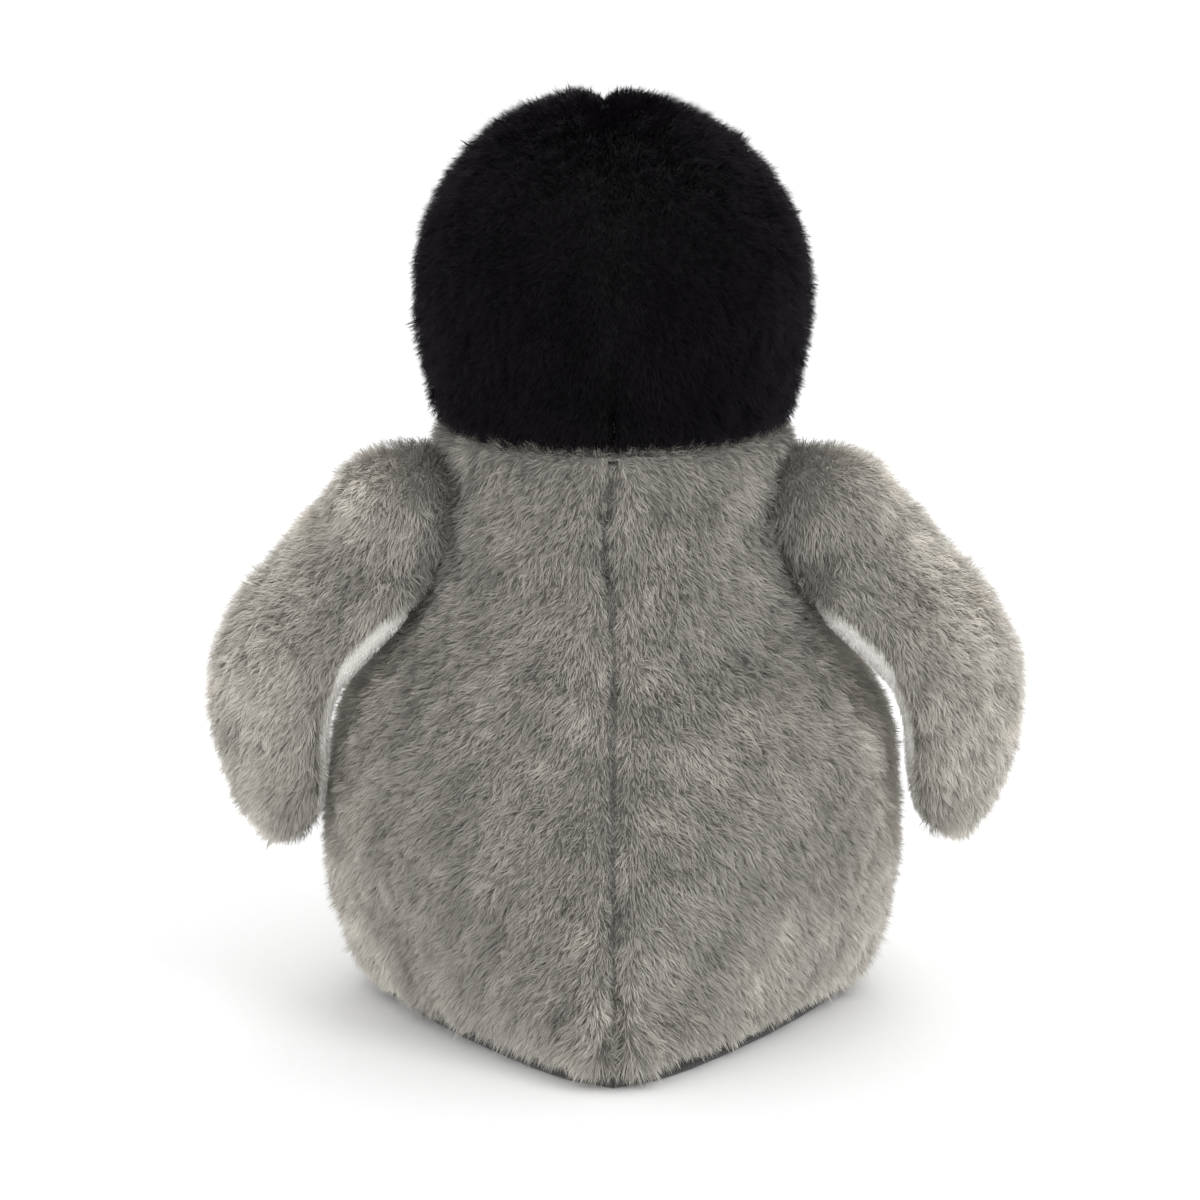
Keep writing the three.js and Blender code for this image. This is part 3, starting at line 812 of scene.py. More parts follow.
def pile_piece(name, sewn, node, body, material, pile, seed, half=None):
    """The pile of one panel: curved guard fibres over straight short ones."""
    draw = np.random.default_rng(seed)
    thin = 1.0
    faces = sewn.panel_faces(node)
    if half is not None:
        heights = sewn.points[faces][:, :, 2].mean(1)
        upper = heights > np.median(heights)
        faces = faces[upper if half else ~upper]
    roots, normals, gaps = scattered(sewn, faces, pile.density * thin, draw)
    count = len(roots)
    tufts = max(8, int(count / (pile.density * thin * (pile.tuft / MM) ** 2)))
    centres = draw.choice(count, tufts, replace=False)
    owner = nearest_of(roots[centres], roots)

    ways = pile.comb(roots)
    ways = unit(ways - normals * (ways * normals).sum(1, keepdims=True))
    swing = 0.22 * wander(roots, 34 * MM, 1) + 0.28 * wander(roots, 7 * MM, 2)
    swing += draw.normal(0, pile.spread, tufts)[owner]
    swing += draw.normal(0, pile.spread, count)
    swing = swing[:, None]
    ways = ways * np.cos(swing) + np.cross(normals, ways) * np.sin(swing)

    short = pile.edge + (1 - pile.edge) * ramp(gaps, 0, SEAM_REACH) ** 0.8
    long = pile.length * short * draw.uniform(0.78, 1.15, count)
    tall = pile.height * short * draw.uniform(0.6, 1.25, count)
    tall *= (1 + 0.15 * draw.normal(0, 1, tufts)[owner]).clip(0.6, 1.4)
    tall *= 1 + 0.14 * wander(roots, 12 * MM, 5)
    if pile.shape:
        longer, taller = pile.shape(roots)
        long, tall = long * longer, tall * taller
    flat = np.sqrt(np.maximum(long**2 - tall**2, (0.2 * long) ** 2)) * 0.92
    tips = roots + normals * tall[:, None] + ways * flat[:, None]
    held = pile.clump * draw.uniform(0.5, 1.0, count)[:, None]
    tips += (tips[centres][owner] - tips + (roots - roots[centres][owner]) * 0.45) * held
    tips[:, 2] = np.maximum(tips[:, 2], 0.4 * MM)
    middles = roots + normals * (tall * 0.66)[:, None] + (tips - roots) * 0.38
    middles -= normals * (((tips - roots) * normals).sum(1) * 0.38)[:, None]
    middles[:, 2] = np.maximum(middles[:, 2], 0.5 * MM)

    twist = draw.normal(0, 0.5, count)[:, None]
    across = np.cross(normals, ways) * np.cos(twist) + normals * np.sin(twist)
    across *= (pile.width / thin**0.5 / 2 * draw.uniform(0.75, 1.25, count))[:, None]
    starts = roots - normals * 0.3 * MM
    tone = 0.5 + 0.05 * draw.normal(0, 1, count) + 0.045 * draw.normal(0, 1, tufts)[owner]
    tone += 0.075 * wander(roots, 30 * MM, 3) + 0.075 * wander(roots, 11 * MM, 4)
    # Painted light and shade of the panel, added to each fibre's own random tone.
    if pile.tone:
        tone += pile.tone(roots)
    tone = tone.clip(0.03, 0.97)

    low = draw.uniform(0, 1, count) < pile.under
    low_tips = roots + (tips - roots) * draw.uniform(0.6, 0.85, count)[:, None]
    low_tips += normals * (0.25 * tall)[:, None]
    rows = [starts - across, starts + across, middles + across * 0.8, middles - across * 0.8, tips]
    bent = blades(
        [row[~low] for row in rows], tone[~low], (-1, 1, 1, -1, 0), (0, 0, 0.5, 0.5, 1),
        ((0, 1, 2), (0, 2, 3), (3, 2, 4)),
    )
    rows = [starts - across * 1.1, starts + across * 1.1, low_tips]
    spikes = blades([row[low] for row in rows], tone[low], (-1, 1, 0), (0, 0, 0.7), ((0, 1, 2),))
    points, corners, marks = (
        np.concatenate([bent[k], spikes[k] + (len(bent[0]) if k == 1 else 0)]) for k in range(3)
    )
    piece = new_object(name, pile_mesh(name, points, corners, marks, material))
    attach(piece, body)
    print("PILE", name, count, "fibres", len(corners), "triangles")
    return piece


# ---- Forms ----

BODY_NODES = ("body_back_left", "body_back_right", "belly")
HEAD_NODES = ("head_cap_left", "head_cap_right", "cheek_left", "cheek_right")


def joint_place(name):
    found = next(joint for joint in frame["joints"] if joint["name"] == name)
    return np.array(found["pos_m"], float)


def body_form(spacing=4.0 * MM, count=120, socket=23 * MM, mound=0.5 * MM):
    """Level outlines of the body, with the shoulder sockets filled in."""
    corners = cad_triangles(BODY_NODES)
    low, high = corners[:, :, 2].min(), corners[:, :, 2].max()
    shoulder = joint_place("flipper_left_lift")
    angles, ways = circle(count)
    rows = []
    for level in np.linspace(low, high, round((high - low) / spacing) + 1):
        inside = min(max(level, low + 0.3 * MM), high - 0.3 * MM)
        radii, _ = level_outline(corners, inside, count, np.zeros(2))
        radii = without_dips(radii, PANEL_GAP)
        span = math.sqrt(max(socket**2 - (level - shoulder[2]) ** 2, 0))
        span /= math.hypot(*shoulder[:2])
        swell = np.zeros(count)
        for sign in SIDES.values():
            middle = math.atan2(shoulder[1], sign * shoulder[0])
            gap = np.abs((angles - middle + np.pi) % (2 * np.pi) - np.pi)
            swell += np.clip(1 - (gap / max(span, 1e-6)) ** 2, 0, 1)
        radii = bridged(radii, swell > 0) + mound * swell
        rows.append(ways * radii[:, None] + (0, 0, level))
    return Form(rows, [(0, 0, low), (0, 0, high)])


def head_form(spacing=4.0 * MM, count=108):
    corners = cad_triangles(HEAD_NODES)
    low, high = corners[:, :, 2].min(), corners[:, :, 2].max()
    radius = corners[:, :, 0].max()
    middle = high - radius
    straight = list(np.linspace(low, middle, round((middle - low) / spacing), endpoint=False))
    turns = round(radius * math.pi / 2 / spacing)
    dome = [middle + radius * math.sin(math.pi / 2 * k / turns) for k in range(turns)]
    _, ways = circle(count)
    rows = []
    for level in straight + dome:
        inside = max(level, low + 0.3 * MM)
        radii, _ = level_outline(corners, inside, count, np.zeros(2))
        radii = without_dips(radii, PANEL_GAP)
        rows.append(ways * radii[:, None] + (0, 0, level))
    return Form(rows, [(0, 0, low), (0, 0, high)])


def turned_form(names, axis, spacing, count, up=(0, 1, 0)):
    """A closed form sliced across an axis of its own."""
    corners = cad_triangles(names)
    along = Vector(axis).normalized()
    side = Vector(up).cross(along).normalized()
    turn = np.array([side, along.cross(side), along])
    local = corners @ turn.T
    low, high = local[:, :, 2].min(), local[:, :, 2].max()
    steps = max(8, round((high - low) / spacing))
    _, ways = circle(count)
    rows, centres = [], []
    for k in range(1, steps):
        share = 0.5 - 0.5 * math.cos(math.pi * (0.08 + 0.84 * k / steps))
        share = (share - 0.0158) / (1 - 2 * 0.0158)
        level = low + (high - low) * share
        radii, centre = level_outline(local, level, count)
        radii = without_dips(radii, PANEL_GAP)
        rows.append(ways * radii[:, None] + (*centre, level))
        centres.append((*centre, level))
    ends = [(*centres[0][:2], low), (*centres[-1][:2], high)]
    form = Form(rows, ends)
    form.points = form.points @ turn
    return form


# ---- Combing ----


def crease_gap(places):
    """How far each place is from the nearer shoulder."""
    folded = np.abs(places) * (1, 0, 0) + places * (0, 1, 1)
    return np.linalg.norm(folded - joint_place("flipper_left_lift"), axis=1)


def comb_body(places):
    """Down, and away from the middle of the back."""
    lean = np.tanh(places[:, 0] / (2.5 * MM)) * 0.3 + np.tanh(places[:, 0] / (30 * MM)) * 0.2
    lean *= np.where(places[:, 1] > 0, 1, 0.35)
    return np.stack([lean, places[:, 1] * 0, np.full(len(places), -1.0)], 1)


def comb_head(places):
    """Back and down from the crown, parted at the middle seam."""
    middle = (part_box("head_cap_left")[0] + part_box("head_cap_left")[1]) / 2
    lean = np.tanh(places[:, 0] / (3 * MM)) * 0.3
    out = unit(places * (1, 1, 0))
    rise = np.clip((places[:, 2] - middle.z) / (45 * MM), 0, 1)[:, None]
    down = np.stack([lean, lean * 0, np.full(len(places), -1.0)], 1)
    return down + out * rise


def comb_cheek(places):
    """Outwards and down from the beak."""
    beak = (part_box("beak_upper")[0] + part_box("beak_upper")[1]) / 2
    away = places - np.array([0, beak.y, beak.z + 6 * MM])
    away[:, 2] -= 8 * MM
    return away


def comb_flipper(places):
    return np.stack(
        [np.sign(places[:, 0]) * 0.45, places[:, 0] * 0 + 0.1, places[:, 0] * 0 - 1.0], 1
    )


def comb_foot(places):
    return np.stack([places[:, 0] * 0, places[:, 0] * 0 - 1.0, places[:, 0] * 0 - 0.2], 1)


# ---- Small forms ----


def cad_copy(name, node, voxel, depth=0.0, lump=0.0, wavelength=12 * MM, seed=1, rounds=4):
    """A remeshed, softened copy of a CAD node, drawn in and made lumpy."""
    source = frame["nodes"][node].data
    points = points_of(source)
    piece = new_object(name, new_mesh(name, points, [p.vertices[:] for p in source.polygons]))
    modified(piece, "REMESH", mode="VOXEL", voxel_size=voxel)
    modified(piece, "SMOOTH", iterations=rounds)
    places = points_of(piece.data)
    inward = depth + lump * (1 + wander(places, wavelength, seed).clip(-1, 1))
    places -= normals_of(piece.data) * np.reshape(inward, (-1, 1))
    put_points(piece.data, places)
    piece.data.shade_smooth()
    return piece


def dress(piece, material, body, node=None):
    """Material, body and the CAD node that a piece stands for."""
    piece.data.materials.clear()
    piece.data.materials.append(material)
    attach(piece, body)
    if node:
        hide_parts(node)
    return piece


def settle(piece, matrix):
    """Moves the mesh itself, so that the object stays at the origin."""
    piece.data.transform(matrix @ piece.matrix_basis)
    piece.matrix_basis = Matrix()
    piece.data.update()


def along_axis(origin, axis):
    """A frame at a point whose own Z is an axis."""
    turn = Vector(axis).to_track_quat("Z", "Y").to_matrix().to_4x4()
    return Matrix.Translation(Vector(origin)) @ turn


def edit(piece, *calls):
    """Runs edit-mode operators on a piece."""
    select_only(piece)
    bpy.ops.object.mode_set(mode="EDIT")
    for call in calls:
        call()
    bpy.ops.object.mode_set(mode="OBJECT")


def select_faces(piece, test):
    """Selects the faces that pass a test."""
    select_only(piece)
    bpy.ops.object.mode_set(mode="EDIT")
    bpy.ops.mesh.select_all(action="DESELECT")
    bpy.ops.mesh.select_mode(type="FACE")
    bpy.ops.object.mode_set(mode="OBJECT")
    for face in piece.data.polygons:
        face.select = bool(test(face))


def finished(piece, width, degrees):
    """Bevels the sharp edges and shades the rest smooth."""
    limit = math.radians(degrees)
    modified(
        piece, "BEVEL", width=width, segments=2, limit_method="ANGLE", angle_limit=limit
    )
    smoothed(piece, 35)


def axis_of(base, top):
    """The line through the middles of two round CAD nodes."""
    middles = [points_of(frame["nodes"][n].data).mean(0) for n in (base, top)]
    return Vector(middles[0]), Vector(middles[1] - middles[0]).normalized()


def reach_along(node, origin, axis):
    """Lowest and highest place of a node on an axis, and its greatest radius round it."""
    away = points_of(frame["nodes"][node].data) - np.array(origin)
    along = away @ np.array(axis)
    radius = np.linalg.norm(away - along[:, None] * np.array(axis), axis=1)
    return along.min(), along.max(), radius.max()


# ---- Pieces ----


class PENGUIN_OT_stage(bpy.types.Operator):
    """Camera, soft studio light and a plain pale floor"""

    bl_idname = "penguin.stage"
    bl_label = "Stage"

    def execute(self, context):
        stage = context.scene.penguin_stage
        low, high = cad_box
        middle = Vector((stage.aside, 0, (low.z + high.z) / 2 - stage.sunk))
        lens = bpy.data.cameras.new("camera")
        lens.lens = stage.lens
        lens.sensor_width = 36
        lens.clip_start, lens.clip_end = 0.05, 20
        camera = new_object("camera", lens)
        level = math.cos(stage.elevation)
        away = Vector((0, level, math.sin(stage.elevation)))
        camera.location = middle + away * stage.distance
        camera.rotation_euler = (-away).to_track_quat("-Z", "Y").to_euler()
        context.scene.camera = camera
        self.floor(context)
        self.lamp("key", (-0.8, 0.7, 1.2), middle, size=0.7, power=6)
        self.lamp("fill", (0.9, 0.9, 0.8), middle, size=1.2, power=1.5)
        self.lamp("front", (-0.2, -1.3, 1.1), middle, size=1.2, power=3)
        world = bpy.data.worlds.new("studio")
        world.use_nodes = True
        colour, strength = world.node_tree.nodes["Background"].inputs[:2]
        colour.default_value, strength.default_value = (1, 1, 1, 1), stage.daylight
        context.scene.world = world
        context.scene.view_settings.view_transform = "Standard"
        return {"FINISHED"}

    def floor(self, context):
        select_only()
        bpy.ops.mesh.primitive_plane_add(size=14)
        floor = context.active_object
        floor.name = "floor"
        shader = Shader("floor_paper", Roughness=0.9)
        grain = shader.noise(300.0, 2.0)
        shade = shader.mix(grain, (0.87, 0.87, 0.87), (0.9, 0.9, 0.9))
        floor.data.materials.append(shader.feed(Base_Color=shade))

    def lamp(self, name, place, aim, size, power):
        light = bpy.data.lights.new(name, "AREA")
        light.shape = "DISK"
        light.size = size
        light.energy = power
        lamp = new_object(name, light)
        lamp.location = place
        lamp.rotation_euler = (aim - lamp.location).to_track_quat("-Z", "Y").to_euler()


class PENGUIN_OT_body(bpy.types.Operator):
    """Two back panels and the belly, with their pile"""

    bl_idname = "penguin.body"
    bl_label = "Body"

    def execute(self, context):
        cloth, pile, colours = kit(context)
        self.hand = context.scene.penguin_handwork
        low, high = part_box("closing_thread")
        self.closing = (low.z + high.z) / 2
        self.stitches = np.linspace(low.z + 1.5 * MM, high.z - 2 * MM, 3)
        form = body_form()
        self.back = form.points[:, 1].max()
        inset = pile.inset * (1 - 0.8 * np.exp(-((crease_gap(form.points) / (15 * MM)) ** 4)))
        inset *= 0.5 + 0.5 * ramp(form.points[:, 2], 0, 18 * MM)
        sewn = Sewn("body", form, BODY_NODES, cloth, inset, rims=(0, -1), warp=self.warp)
        self.stitch(sewn)
        coat = Pile(comb_body, pile.length, pile.height, pile.width, pile.density,
                    tone=self.tone, shape=self.hem)
        fur = {
            "grey": pile_material("grey_pile", colours.grey, 0.69, 1.11),
            "pale": pile_material("pale_pile", colours.pale, 0.88, 1.05, 1.35),
        }
        cloths = {
            "grey": backing_material("grey_backing", colours.grey),
            "pale": backing_material("pale_backing", colours.pale),
        }
        for name, stem, node, kind, seed in (
            ("back_left", "back_left", "body_back_left", "grey", 0),
            ("back_right", "back_right", "body_back_right", "grey", 10),
            ("belly_panel", "belly", "belly", "pale", 50),
        ):
            slot = f"{kind}_plush"
            sewn.panel(name, node, "torso", slot, cloths[kind], cloth.thickness, 0.8)
            for part in range(2):
                pile_piece(f"{stem}_pile_{part}", sewn, node, "torso", fur[kind], coat,
                           pile.seed + seed + 5 * part, half=part)
        return {"FINISHED"}

    def warp(self, points):
        """Soft lumps and fuller flanks, and the hand-closed seam pulls a little to the left."""
        pull = hump(points[:, 0], 0, 12 * MM) * self.closed(points) * (points[:, 1] > 0)
        lumps = self.hand.lumps * wander(points, 34 * MM, 21) * ramp(points[:, 2], 0, 20 * MM)
        waist = hump(points[:, 2], WAIST_LEVEL, 16 * MM)
        lumps += self.hand.waist * waist * (points[:, 0] / np.abs(points[:, 0]).max()) ** 2
        aside = pull[:, None] * (self.hand.pull, 0, 0)
        return points + aside + unit(points * (1, 1, 0)) * lumps[:, None]

    def closed(self, places):
        """1 in the middle of the hand-closed stretch, none beyond it."""
        return hump(places[:, 2], self.closing, 13 * MM)

    def stitch(self, sewn):
        """A dimple at each closing stitch."""
        back = (sewn.points[:, 1] > 0) & (np.abs(sewn.points[:, 0]) < 12 * MM)
        for level in self.stitches:
            near = (sewn.points[:, 2] - level) ** 2 + sewn.seam**2
            dent = np.exp(-near / (2.4 * MM) ** 2) * back
            sewn.points -= sewn.normals * dent[:, None] * self.hand.dimple

    def tone(self, places):
        """Painted shade down in the back seam, at the neck under the head and in the crease by
        each flipper. Painted light from behind along the flanks. Lighter towards the hem.
        """
        aside = places[:, 0] - self.hand.pull * self.closed(places)
        seam = hump(aside, 0, 1.1 * MM) * (places[:, 1] > 0)
        seam *= 0.65 + 0.35 * wander(places * (0, 0, 1), 9 * MM, 23)
        hem = ramp(places[:, 2], 50 * MM, -50 * MM)
        neck = ramp(places[:, 2], 110 * MM, 40 * MM)
        # Painted light along the flanks, where the bright backdrop shines through the pile.
        flank = ramp(np.abs(unit(places * (1, 1, 0))[:, 0]), 0.9, 0.1)
        crease = hump(crease_gap(places), 20 * MM, 4 * MM)
        # Painted shade at the neck under the head, in the back seam and in the crease by each
        # flipper.
        shade = 0.06 * neck + 0.5 * seam + 0.22 * crease
        return 0.1 * hem + 0.2 * flank * (1 - neck) - shade

    def hem(self, places):
        """Long and tufty at the hem and on the tail, and trimmed short along the right hem."""
        low = ramp(places[:, 2], 16 * MM, -16 * MM)
        tail = np.exp(-np.linalg.norm(places - (0, self.back, 8 * MM), axis=1) / (12 * MM))
        trim = low * ramp(places[:, 0], 0, -25 * MM) * ramp(places[:, 1], 0, 10 * MM)
        tufty = (1 + 0.35 * low * wander(places, 11 * MM, 22)) * (1 - 0.4 * trim)
        longer = (1 + 0.3 * low + 0.5 * tail) * (1 - 0.45 * trim)
        return longer, (1 + 0.25 * low + 0.8 * tail) * tufty


class PENGUIN_OT_base(bpy.types.Operator):
    """The flat cloth the toy sits on, hemmed all round"""

    bl_idname = "penguin.base"
    bl_label = "Base"

    def execute(self, context):
        corners = cad_triangles(["base_panel"])
        low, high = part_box("base_panel")
        count, middle = 160, (low.z + high.z) / 2
        angles, ways = circle(count)
        radii, _ = level_outline(corners, middle, count, np.zeros(2))
        corner = hump(angles, np.pi / 2, math.radians(7))
        radii = without_dips(radii, PANEL_GAP) - 0.4 * MM - corner * 3 * MM
        hem = [(radii - 8 * MM, low.z), (radii - 5.2 * MM, low.z)]
        hem += [(radii - 4.5 * MM, low.z + 0.6 * MM), (radii - 3.8 * MM, low.z)]
        for k in range(7):
            turn = math.pi * (k / 6 - 0.5)
            drop = math.sin(turn) * (high.z - low.z) / 2
            hem.append((radii - 2.4 * MM + math.cos(turn) * 1.8 * MM, middle + drop))
        hem += [(radii * 0.93, high.z), (radii * 0.8, high.z - 0.5 * MM)]
        rows = [ways * reach[:, None] + (0, 0, level) for reach, level in hem]
        form = Form(rows, [(0, 0, low.z), (0, 0, high.z - 0.8 * MM)])
        piece = new_object("base_cloth", new_mesh("base_cloth", form.points, form.faces))
        smoothed(piece, 60)
        material = cloth_material("base_weave", kit(context)[2].charcoal, 0.7 * MM)
        dress(piece, material, "torso", "base_panel")
        return {"FINISHED"}


class PENGUIN_OT_head(bpy.types.Operator):
    """The black cap and white cheeks, with their pile"""

    bl_idname = "penguin.head"
    bl_label = "Head"

    def execute(self, context):
        cloth, pile, colours = kit(context)
        self.hand = context.scene.penguin_handwork
        sewn = Sewn("head", head_form(), HEAD_NODES, cloth, pile.inset, rims=(0,), groove=0.55,
                    warp=self.crown)
        for kind, stem, slot, colour, shares, size, comb, edge in (
            ("cap", "head_cap", "black_plush", colours.black, (0.6, 1.15, 3.0, 0.12), 1.0,
             comb_head, 0.4),
            ("cheek", "cheek", "white_plush", colours.white, (0.92, 1.02, 1.35), 0.6,
             comb_cheek, 0.75),
        ):
            backing = backing_material(f"{kind}_backing", colour)
            coat = pile_material(f"{kind}_pile", colour, *shares)
            nap = Pile(comb, pile.length * size, pile.height * size, pile.width, pile.density,
                       tone=self.tone, edge=edge)
            for number, side in enumerate(SIDES):
                node, name = f"{stem}_{side}", f"{kind}_cloth_{side}"
                sewn.panel(name, node, "head", slot, backing, cloth.thickness, 0.85)
                pile_piece(f"{kind}_{side}_pile", sewn, node, "head", coat, nap,
                           pile.seed + 100 + number)
        return {"FINISHED"}

    def tone(self, places):
        """A little lighter at the sides and the crown, where the pile catches the light."""
        crown = ramp(places[:, 2], 205 * MM, 30 * MM)
        return 0.55 * (places[:, 0] / HEAD_HALF_WIDTH) ** 2 + 0.28 * crown - 0.16

    def crown(self, points):
        """A small dip where the cap seams meet on the crown, which leans a little."""
        top = points[:, 2].max()
        spot = (points[:, 0] / (5 * MM)) ** 2 + ((points[:, 1] - 4 * MM) / (16 * MM)) ** 2
        dent = np.exp(-spot) * (points[:, 2] > top - 12 * MM)
        lean = self.hand.lean * ramp(points[:, 2], 188 * MM, 50 * MM) ** 1.5
        return points - dent[:, None] * (0, 0, self.hand.notch) + lean[:, None] * (1, 0, 0)


class PENGUIN_OT_flippers(bpy.types.Operator):
    """Two flippers: long grey pile outside, short white nap on the lining"""

    bl_idname = "penguin.flippers"
    bl_label = "Flippers"

    def execute(self, context):
        cloth, pile, colours = kit(context)
        hand = context.scene.penguin_handwork
        names = ("flipper_outer_left", "flipper_lining_left")
        low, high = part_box(names[0])
        shoulder = joint_place("flipper_left_lift")
        tip = np.array([(low.x + 3 * high.x) / 4, shoulder[1], low.z])
        form = turned_form(names, shoulder - tip, 3.2 * MM, 60)
        inset = pile.inset * (0.1 + 0.7 * ramp(form.points[:, 0], 44 * MM, 16 * MM))
        left = Sewn("flipper", form, names, cloth, inset, groove=0.35, warp=self.fall,
                    favour=self.wrap)
        right = left.mirrored(("flipper_outer_right", "flipper_lining_right"))
        coat = Pile(comb_flipper, pile.length, pile.height, pile.width, pile.density,
                    tone=self.tone, edge=0.85)
        nap = Pile(comb_flipper, 1.6 * MM, 0.8 * MM, 0.24 * MM, 5.5, clump=0.05)
        grey = pile_material("flipper_pile", colours.grey, 0.7, 1.14)
        white = pile_material("lining_pile", colours.white, 0.95, 1.0, 1.35)
        knit = backing_material("flipper_backing", colours.grey)
        weave = cloth_material("lining_cloth", times(colours.white, 0.8), 0.4 * MM)
        for number, (side, sewn, hang) in enumerate(
            (("left", left, hand.hang_left), ("right", right, hand.hang_right))
        ):
            body = f"flipper_{side}"
            sewn.swing(joint_place(f"{body}_lift"), hang)
            outer, lining = f"flipper_outer_{side}", f"flipper_lining_{side}"
            seed = pile.seed + 200 + number
            sewn.panel(f"{body}_outer", outer, body, "grey_plush", knit, cloth.thickness, 0.7)
            sewn.panel(f"{body}_lining", lining, body, "white_plush", weave, cloth.thickness,
                       0.7)
            pile_piece(f"{body}_pile", sewn, outer, body, grey, coat, seed)
            pile_piece(f"{body}_nap", sewn, lining, body, white, nap, seed + 5)
        return {"FINISHED"}

    def wrap(self, places):
        """The lining comes round the inner edge, but not up in the armpit."""
        round_edge = 1.5 * MM * hump(places[:, 2], LINING_LEVEL, 9 * MM)
        return round_edge - 4.5 * MM * ramp(places[:, 2], ARMPIT_LEVEL, 6 * MM)

    def fall(self, points):
        """Fuller over the shoulder, flatter below it."""
        outside = ramp(points[:, 0], 52 * MM, 14 * MM)
        fuller = 1.6 * MM * hump(points[:, 2], FULL_LEVEL, 9 * MM)
        flatter = 2.4 * MM * hump(points[:, 2], FLAT_LEVEL, 11 * MM)
        return points + (outside * (fuller - flatter))[:, None] * (1, 0, 0)

    def tone(self, places):
        """Painted light towards the outer edges, where the bright backdrop shines through the
        pile, and painted shade in the crease by the body.
        """
        aside = np.abs(places[:, 0])
        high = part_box("flipper_outer_left")[1].x
        rim = ramp(aside, 70 * MM, high - 70 * MM)
        slope = ramp(0.79 * aside + 0.61 * places[:, 2], 128 * MM, 11 * MM)
        crease = ramp(aside, 56 * MM, -10 * MM) * hump(crease_gap(places), 18 * MM, 5 * MM)
        # Painted light along the rim and the upper slope, less painted shade in the crease.
        return 0.34 * np.maximum(rim, 0.85 * slope) - 0.24 * crease


class PENGUIN_OT_feet(bpy.types.Operator):
    """Two flat feet with toe grooves, short dark pile over a cloth sole"""

    bl_idname = "penguin.feet"
    bl_label = "Feet"

    def execute(self, context):
        cloth, pile, colours = kit(context)
        self.hand = context.scene.penguin_handwork
        names = ("foot_top_left", "foot_sole_left")
        self.heel = joint_place("foot_left_flap")
        low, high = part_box(names[0])
        across = (low.x + high.x) / 2 - self.heel[0] + 3 * MM
        self.ahead = Vector((across, low.y - self.heel[1], 0)).normalized()
        form = turned_form(names, self.ahead, 2.4 * MM, 48, up=(0, 0, 1))
        left = Sewn("foot", form, names, cloth, 1.2 * MM, groove=0.4, warp=self.toes)
        left.points[:, 2] = left.points[:, 2].clip(0.3 * MM)
        backing = backing_material("foot_backing", colours.charcoal)
        weave = cloth_material("sole_weave", colours.charcoal, 0.6 * MM)
        coat = pile_material("foot_pile", colours.charcoal, 0.6, 1.3)
        short = Pile(comb_foot, 2.6 * MM, 1.5 * MM, 0.24 * MM, 6.0, clump=0.2)
        for number, side in enumerate(SIDES):
            body, top, sole = f"foot_{side}", f"foot_top_{side}", f"foot_sole_{side}"
            sewn = left if side == "left" else left.mirrored((top, sole))
            sewn.panel(f"{body}_top", top, body, "dark_plush", backing, 1.0 * MM, 0.7)
            sewn.panel(f"{body}_sole", sole, body, "dark_cloth", weave, 1.0 * MM, 0.7)
            pile_piece(f"{body}_pile", sewn, top, body, coat, short,
                       pile.seed + 300 + number)
        return {"FINISHED"}

    def toes(self, points):
        """Two shallow grooves between three toes."""
        away = points - self.heel
        aside = away[:, 0] * -self.ahead.y + away[:, 1] * self.ahead.x
        reach = ramp(away @ np.array(self.ahead), 16 * MM, 14 * MM)
        groove = sum(hump(aside, k * self.hand.toe_gap, 1.6 * MM) for k in (-1, 1))
        top = points[:, 2] > np.median(points[:, 2])
        drop = groove * reach * top * self.hand.toe_groove
        return points - drop[:, None] * (0, 0, 1)


